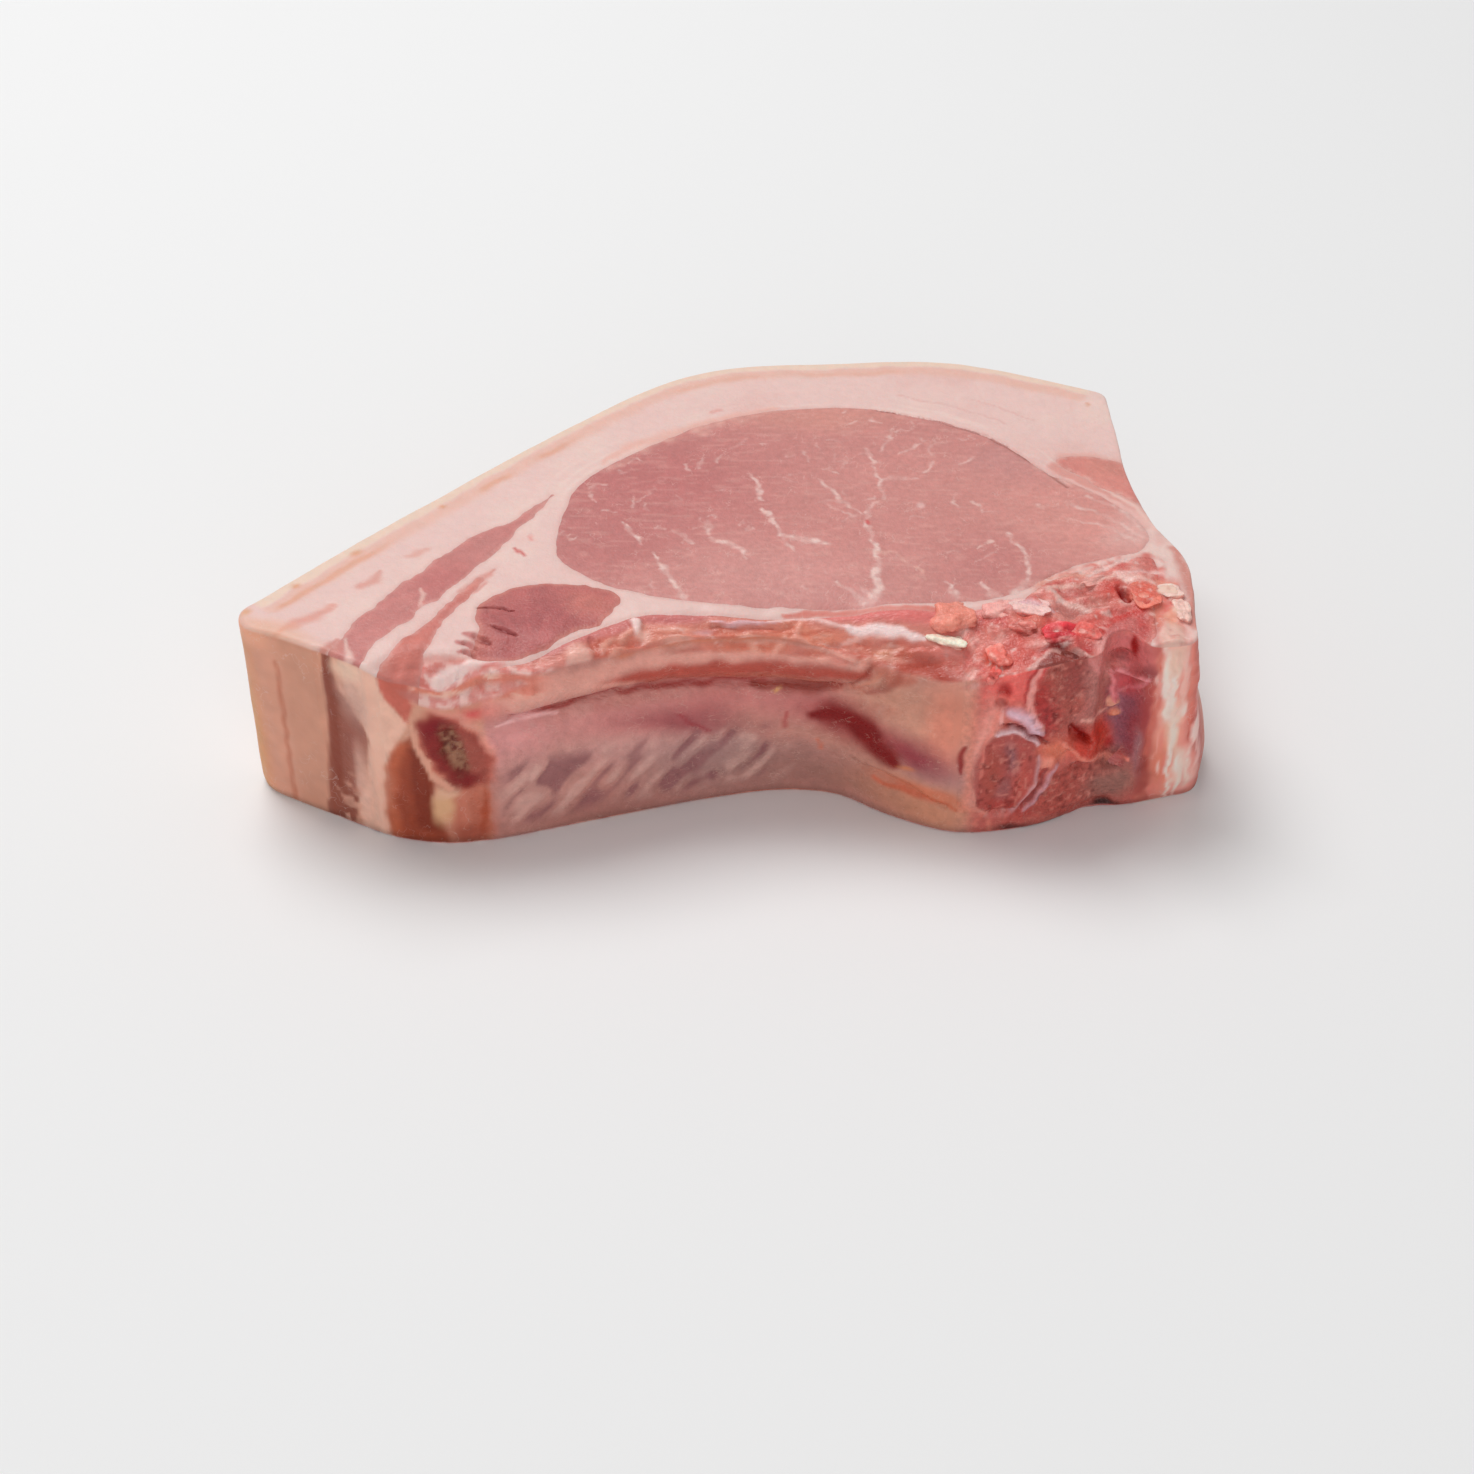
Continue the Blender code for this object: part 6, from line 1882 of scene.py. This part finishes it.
# --------------------------------------
# The backbone meat: scraps of red meat, gristle and fat that hold the spine's bones,
# ragged on top and sawn flat in front, round the smooth spinal canal.
# --------------------------------------
BACKBONE_MEAT = tissue(
    "backbone_meat",
    mottle=(1.0, 0.13),
    threads=(1.3, (1.0, 1.0, 1.0), 0.025, 0.2, (242, 196, 184)),
    skin=(0.55, 0.24, (1.0, 1.0, 1.0)),
    bleed=0.15,
)
chine_meat = cut_beside("chine_meat_scraps", blades["chine_meat"], [rib_cutter, chine_cutter])
heap_places, heap_way, heap_run, _ = facing(chine_meat.data)
heap_side = side_share(heap_way)
heap_colour = mixed(torn_paint(heap_places[:, :2]), wall_paint(heap_places, heap_way, heap_run), heap_side)
finish_paint(chine_meat, heap_colour, 0.27 + 0.05 * heap_side, BACKBONE_MEAT)
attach(chine_meat, "root")
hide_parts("chine_meat")

# --------------------------------------
# The back fat: one firm white sheet of fat with the rind on its outer side, which also
# runs between all the muscles. The rind is smooth scalded skin with fine pores.
# --------------------------------------
FAT_SMEARS = [
    ([(-45, -39.8), (-42.6, -40.4)], (0.5, 0.9), 0.6, (198, 116, 112), 0.85),
    ([(-45.4, -42), (-42.8, -42.3)], (0.5, 0.8), 0.6, (198, 116, 112), 0.85),
    ([(-45.2, -44), (-42.6, -44.2)], (0.4, 0.7), 0.6, (198, 116, 112), 0.85),
    ([(-57, -17), (-55, -16.4), (-53.4, -15.2)], (0.4, 0.9, 0.6), 0.9, (226, 168, 156), 0.8),
    ([(-63.4, -26.2), (-61.4, -24.6), (-60.6, -22.2)], (1, 1.1, 0.4), 0.8, (222, 158, 146), 0.85),
    ([(-76, -40), (-73, -37), (-70, -35), (-67.6, -32.2)], (0.7, 1.2, 1.2, 0.7), 0.8, (227, 160, 146), 0.85),
    ([(-38, -15), (-37.4, -15.8), (-36.4, -17.2)], (0.15, 0.45, 0.15), 0.7, (206, 92, 88), 0.9),
    ([(-35.8, -11), (-35.4, -12.4)], (0.35, 0.35), 0.9, (228, 150, 142), 0.8),
    ([(-46, -27.6), (-44, -25), (-42.4, -22.6), (-41.2, -21.2)],
     (0.8, 0.9, 0.5, 0.3), 0.8, (217, 138, 126), 0.8),
    ([(-44.8, -27.6), (-42.2, -25.4)], (0.5, 0.3), 0.8, (214, 132, 120), 0.7),
    ([(-24, 13), (-19.6, 18.4), (-11, 23.8), (-1, 29), (8, 32.4)],
     (0.6, 1.2, 1.2, 0.9, 0.6), 0.9, (234, 178, 164), 0.7),
    ([(-4, 31), (-2.6, 31.4)], (0.5, 0.4), 0.9, (226, 150, 140), 0.7),
    ([(60, 15.4), (66, 15), (71, 12.4)], (1, 1.2, 1), 0.9, (228, 168, 156), 0.6),
    ([(58.5, 11.5), (61.5, 7.5), (65.5, 3.5), (69.5, -0.5), (72.5, -6)],
     (1.2, 1.8, 2.2, 2.6, 2), 0.6, (222, 154, 144), 0.9),
    ([(60, 7.4), (64.6, 3.2), (69, -1.6), (72.4, -7)], (0.3, 0.4, 0.6, 0.8), 0.9, (236, 190, 182), 0.8),
    ([(64, 8), (68, 2.4), (71.4, -2), (74, -8)], (0.3, 0.5, 0.6, 0.8), 0.9, (240, 202, 192), 0.8),
    ([(8, -33.4), (14, -32.7), (20, -32.4), (30, -32.7), (35, -33)],
     (0.3, 0.8, 0.9, 0.9), 0.4, (222, 132, 120), 0.95),
    ([(72.6, 3), (75.4, -4), (76.2, -10)], (0.8, 1, 0.8), 0.8, (214, 138, 128), 0.8),
    ([(-67.6, -44.6), (-66.2, -43.4), (-65.4, -41.8)], (1, 1.3, 0.6), 0.6, (208, 132, 122), 0.85),
    ([(75.4, -2), (75.8, -8), (74.4, -13)], (1, 1.3, 1.2), 0.9, (228, 178, 170), 0.6),
    ([(76.5, -15), (77.6, -20), (78.2, -28), (77.2, -36)], (0.8, 1, 1.4, 1.2), 0.8, (214, 138, 126), 0.85),
    ([(79.6, -20), (80.4, -27), (80, -33)], (0.5, 0.6, 0.5), 0.9, (230, 176, 166), 0.6),
    ([(31, 37.4), (42, 33), (51, 26.6)], (0.25, 0.3, 0.2), 0.9, (224, 172, 164), 0.5),
    ([(45, 36), (52, 31.6), (56, 27.8)], (0.2, 0.3, 0.2), 0.9, (222, 166, 158), 0.45),
]
RIND_TICKS = [
    ((-52, -1.6), (0.6, 0.6), 0, 0.8, (222, 158, 122), 0.85),
    ((-65.6, -16.2), (1.2, 0.7), 45, 0.8, (227, 164, 130), 0.85),
    ((-74.6, -26.4), (0.8, 0.6), 45, 0.8, (224, 160, 124), 0.85),
    ((-82, -34), (1, 0.8), 45, 0.8, (226, 170, 130), 0.8),
    ((67, 33.6), (0.35, 0.6), 0, 0.8, (220, 158, 124), 0.85),
]


def fat_paint(spots, inset, run):
    """The colours of the fat on top: white, with the rind's cut edge round the outside and painted shade
    along the eye's groove.
    """
    colour = flat(spots, 234, 198, 191)
    cloud = grain(spots, ((14.0, 0.6), (5.0, 0.4)), 211)
    colour = mixed(colour, shade(228, 182, 174), 0.5 * ease(cloud, 0.1, 0.8))
    colour = mixed(colour, shade(238, 208, 198), 0.6 * ease(-cloud, 0.1, 0.8))
    band = gap_to(eye_line, spots)
    round_eye = np.arctan2(spots[:, 1], spots[:, 0] - 20.0) * 3.0
    sheets = ripple(np.column_stack([band / 0.8, round_eye]), 1.0, 212)
    colour = mixed(colour, shade(242, 214, 204), 0.4 * ease(sheets, 0.3, 0.8) * (1.0 - ease(band, 3.0, 9.0)))
    rind = (1.0 - ease(run, belly_start - 2.0, belly_start)) * ease(run, rind_start, rind_start + 3.0)
    at = inset + 0.35 * ripple(spots, 3.0, 213)
    colour = mixed(colour, shade(237, 208, 190), rind * (1.0 - ease(at, 1.2, 2.0)))
    pink = ease(at, 1.4, 2.4) * (1.0 - ease(at, 3.4, 6.0))
    colour = mixed(colour, shade(233, 184, 168), 0.75 * rind * pink)
    line = ease(at, 2.8, 3.6) * (1.0 - ease(at, 4.0, 5.0))
    patchy = ease(ripple(np.column_stack([run / 7.0, at / 3.0]), 1.0, 214), -0.3, 0.5)
    thick = 1.0 - 0.6 * ease(spots[:, 0], -40.0, -10.0)
    colour = mixed(colour, shade(227, 166, 140), 0.75 * rind * line * patchy * thick)
    colour = draw_lines(colour, bent(spots, 0.4, 1.7, 215), FAT_SMEARS)
    colour = draw_patches(colour, spots, RIND_TICKS)
    corner = patch(bent(spots, 1.0, 3.0, 216), (-77.0, -39.6), (8.0, 2.4), -28.0, 0.8)
    colour = mixed(colour, shade(232, 178, 150), 0.7 * corner)
    # painted shade: darker along the sunk groove on the fat side of the eye's edge
    eye_groove_shade = stroke(bent(spots, 0.4, 2.0, 217), EYE_GROOVE[2:], (0.5, 0.8, 0.9, 0.5), 0.9)
    colour = mixed(colour, shade(206, 158, 152), 0.5 * eye_groove_shade)
    near = 1.0 - ease(gap_to(seam_tree, spots), 0.1, 0.9)
    return mixed(colour, shade(224, 168, 160), 0.35 * near)


eye_line = tree_of(seams["loin_eye"])
FAT = tissue(
    "fat",
    mottle=(2.2, 0.025),
    threads=(3.0, (1.0, 1.0, 1.0), 0.012, 0.25, (243, 220, 212)),
    skin=(1.1, 0.12, (1.0, 1.0, 1.0)),
    bleed=0.2,
)
fat = cut("back_fat_and_rind", slab, "DIFFERENCE", [*blades.values(), rib_cutter, chine_cutter])
fat_places, fat_way, fat_run, fat_inset = facing(fat.data)
fat_side = side_share(fat_way)
fat_top = fat_paint(fat_places[:, :2], fat_inset, fat_run)
fat_top = mixed(fat_top, torn_paint(fat_places[:, :2]), beside_heap(fat_places[:, :2]))
fat_colour = mixed(fat_top, wall_paint(fat_places, fat_way, fat_run), fat_side)
finish_paint(fat, fat_colour, 0.47, FAT)
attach(fat, "root")
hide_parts("back_fat")

for spent in (slab, rib_cutter, chine_cutter, *blades.values()):
    bpy.data.objects.remove(spent)

# --------------------------------------
# The saw's scraps: soft lumps of fat and meat left standing on the backbone's top. Each is
# a small rounded body pressed a little way into the surface.
# --------------------------------------
SCRAPS = [
    ((37, -33.1), (4.1, 3.9, 2.2), 6, (244, 150, 132)),
    ((35.4, -37.8), (3.6, 1.7, 1), -22, (248, 226, 206)),
    ((44.2, -42.2), (1.8, 2.8, 1.4), 24, (240, 124, 112)),
    ((44, -32.6), (2.8, 2, 1.4), 10, (242, 168, 160)),
    ((50, -32.2), (3.1, 2.1, 1.5), -25, (240, 190, 184)),
    ((54.4, -39), (3, 2, 1.3), 10, (230, 72, 80)),
    ((58.6, -38.4), (2.4, 1.8, 1.2), -10, (238, 112, 104)),
    ((43.4, -45), (1.6, 1.4, 1.2), 10, (236, 108, 100)),
    ((69.8, -29), (2.8, 4.1, 1.6), 4, (238, 132, 114)),
    ((74, -28), (2.4, 1.7, 1), 10, (242, 202, 190)),
    ((75.4, -33), (1.3, 2.8, 0.9), 4, (242, 198, 186)),
    ((61.4, -24.6), (2.6, 1.2, 0.9), 20, (236, 170, 160)),
    ((48.4, -36.4), (2.4, 1.6, 1), -20, (232, 130, 120)),
]
SUNK = 0.5  # how much of a lump's half height lies under the surface


def scrap(number, place, half, lean, tone):
    """The points, faces and colours of one lump: a rounded block with an uneven skin."""
    shape = bmesh.new()
    bmesh.ops.create_icosphere(shape, subdivisions=5, radius=1.0)
    ball = np.array([vertex.co for vertex in shape.verts])
    faces = np.array([[vertex.index for vertex in face.verts] for face in shape.faces])
    shape.free()
    ball /= (np.abs(ball) ** 3).sum(1)[:, None] ** (1 / 3)
    bumps = grain(ball, ((1.1, 0.28), (0.5, 0.2), (0.2, 0.06)), 301 + number)
    x, y, z = (ball * half * (0.95 + bumps)[:, None]).T
    turn = math.radians(lean)
    along = x * math.cos(turn) - y * math.sin(turn)
    across = x * math.sin(turn) + y * math.cos(turn)
    spots = np.column_stack([along, across])
    _, under, _ = slab_tree.find((*place, top_height(np.array([place], float))[0]))
    high = np.minimum(slab_worked[under, 2] + z - SUNK * half[2], cad_box[1][2] / MM - 0.05)
    paler = ease(grain(ball, ((0.9, 0.6), (0.4, 0.4)), 351 + number), 0.0, 0.6)
    colour = mixed(flat(ball, *tone), shade(244, 196, 184), 0.5 * paler)
    rim = 1.0 - ease(ball[:, 2], 0.0, 0.7)
    colour = mixed(colour, torn_paint(spots + place), 0.7 * rim)
    # painted light and shade: each lump's colour is lighter on its bumps and darker in its dips
    return np.column_stack([spots + place, high]), faces, colour * (1.0 + 0.8 * bumps)[:, None]


found = [scrap(number, *lump) for number, lump in enumerate(SCRAPS)]
steps = np.cumsum([0] + [len(points) for points, _, _ in found[:-1]])
scrap_points = np.vstack([points for points, _, _ in found])
scrap_faces = np.vstack([faces + step for (_, faces, _), step in zip(found, steps)])
scraps = placed("backbone_scraps", plain_mesh("backbone_scraps", scrap_points, scrap_faces))
scrap_colour = np.vstack([colour for _, _, colour in found])
finish_paint(scraps, scrap_colour, 0.3, BACKBONE_MEAT)
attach(scraps, "root")

# --------------------------------------
# The studio: a plain pale floor, a large soft lamp above and behind, a broad lamp from
# the front that fills the walls, and the camera above the rib side.
# --------------------------------------
FLOOR_HALF = 3000.0
floor_corners = np.array([(-1, -1), (1, -1), (1, 1), (-1, 1)]) * FLOOR_HALF
floor_points = np.column_stack([floor_corners, np.zeros(4)])
floor = placed("floor", plain_mesh("floor", floor_points, np.array([[0, 1, 2], [0, 2, 3]])))
floor_paint = bpy.data.materials.new("floor_paint")
floor_paint.use_nodes = True
floor_shader = floor_paint.node_tree.nodes["Principled BSDF"]
floor_shader.inputs["Base Color"].default_value = (0.86, 0.86, 0.86, 1.0)
floor_shader.inputs["Roughness"].default_value = 0.8
floor.data.materials.append(floor_paint)


def lamp(name, place, size, watts):
    """A square soft lamp that points at the middle of the chop."""
    made = bpy.data.objects.new(name, bpy.data.lights.new(name, "AREA"))
    made.data.size = size
    made.data.energy = watts
    made.location = place
    made.rotation_euler = (Vector((0.0, 0.0, 0.02)) - Vector(place)).to_track_quat("-Z", "Y").to_euler()
    bpy.context.scene.collection.objects.link(made)


lamp("top_lamp", (-0.42, 0.6, 1.38), 0.85, 15.8)
lamp("front_lamp", (0.0, -1.0, 0.6), 0.9, 3.0)
world = bpy.data.worlds.new("studio")
world.use_nodes = True
world.node_tree.nodes["Background"].inputs["Color"].default_value = (1.0, 1.0, 1.0, 1.0)
world.node_tree.nodes["Background"].inputs["Strength"].default_value = 0.35
bpy.context.scene.world = world

camera = bpy.data.objects.new("camera", bpy.data.cameras.new("camera"))
camera.data.lens = 59.6
camera.data.clip_start = 0.01
camera.location = (0.0005, -0.368, 0.275)
camera.rotation_euler = (math.radians(51.6), 0.0, 0.0)
bpy.context.scene.collection.objects.link(camera)
bpy.context.scene.camera = camera
bpy.context.scene.view_settings.view_transform = "Standard"
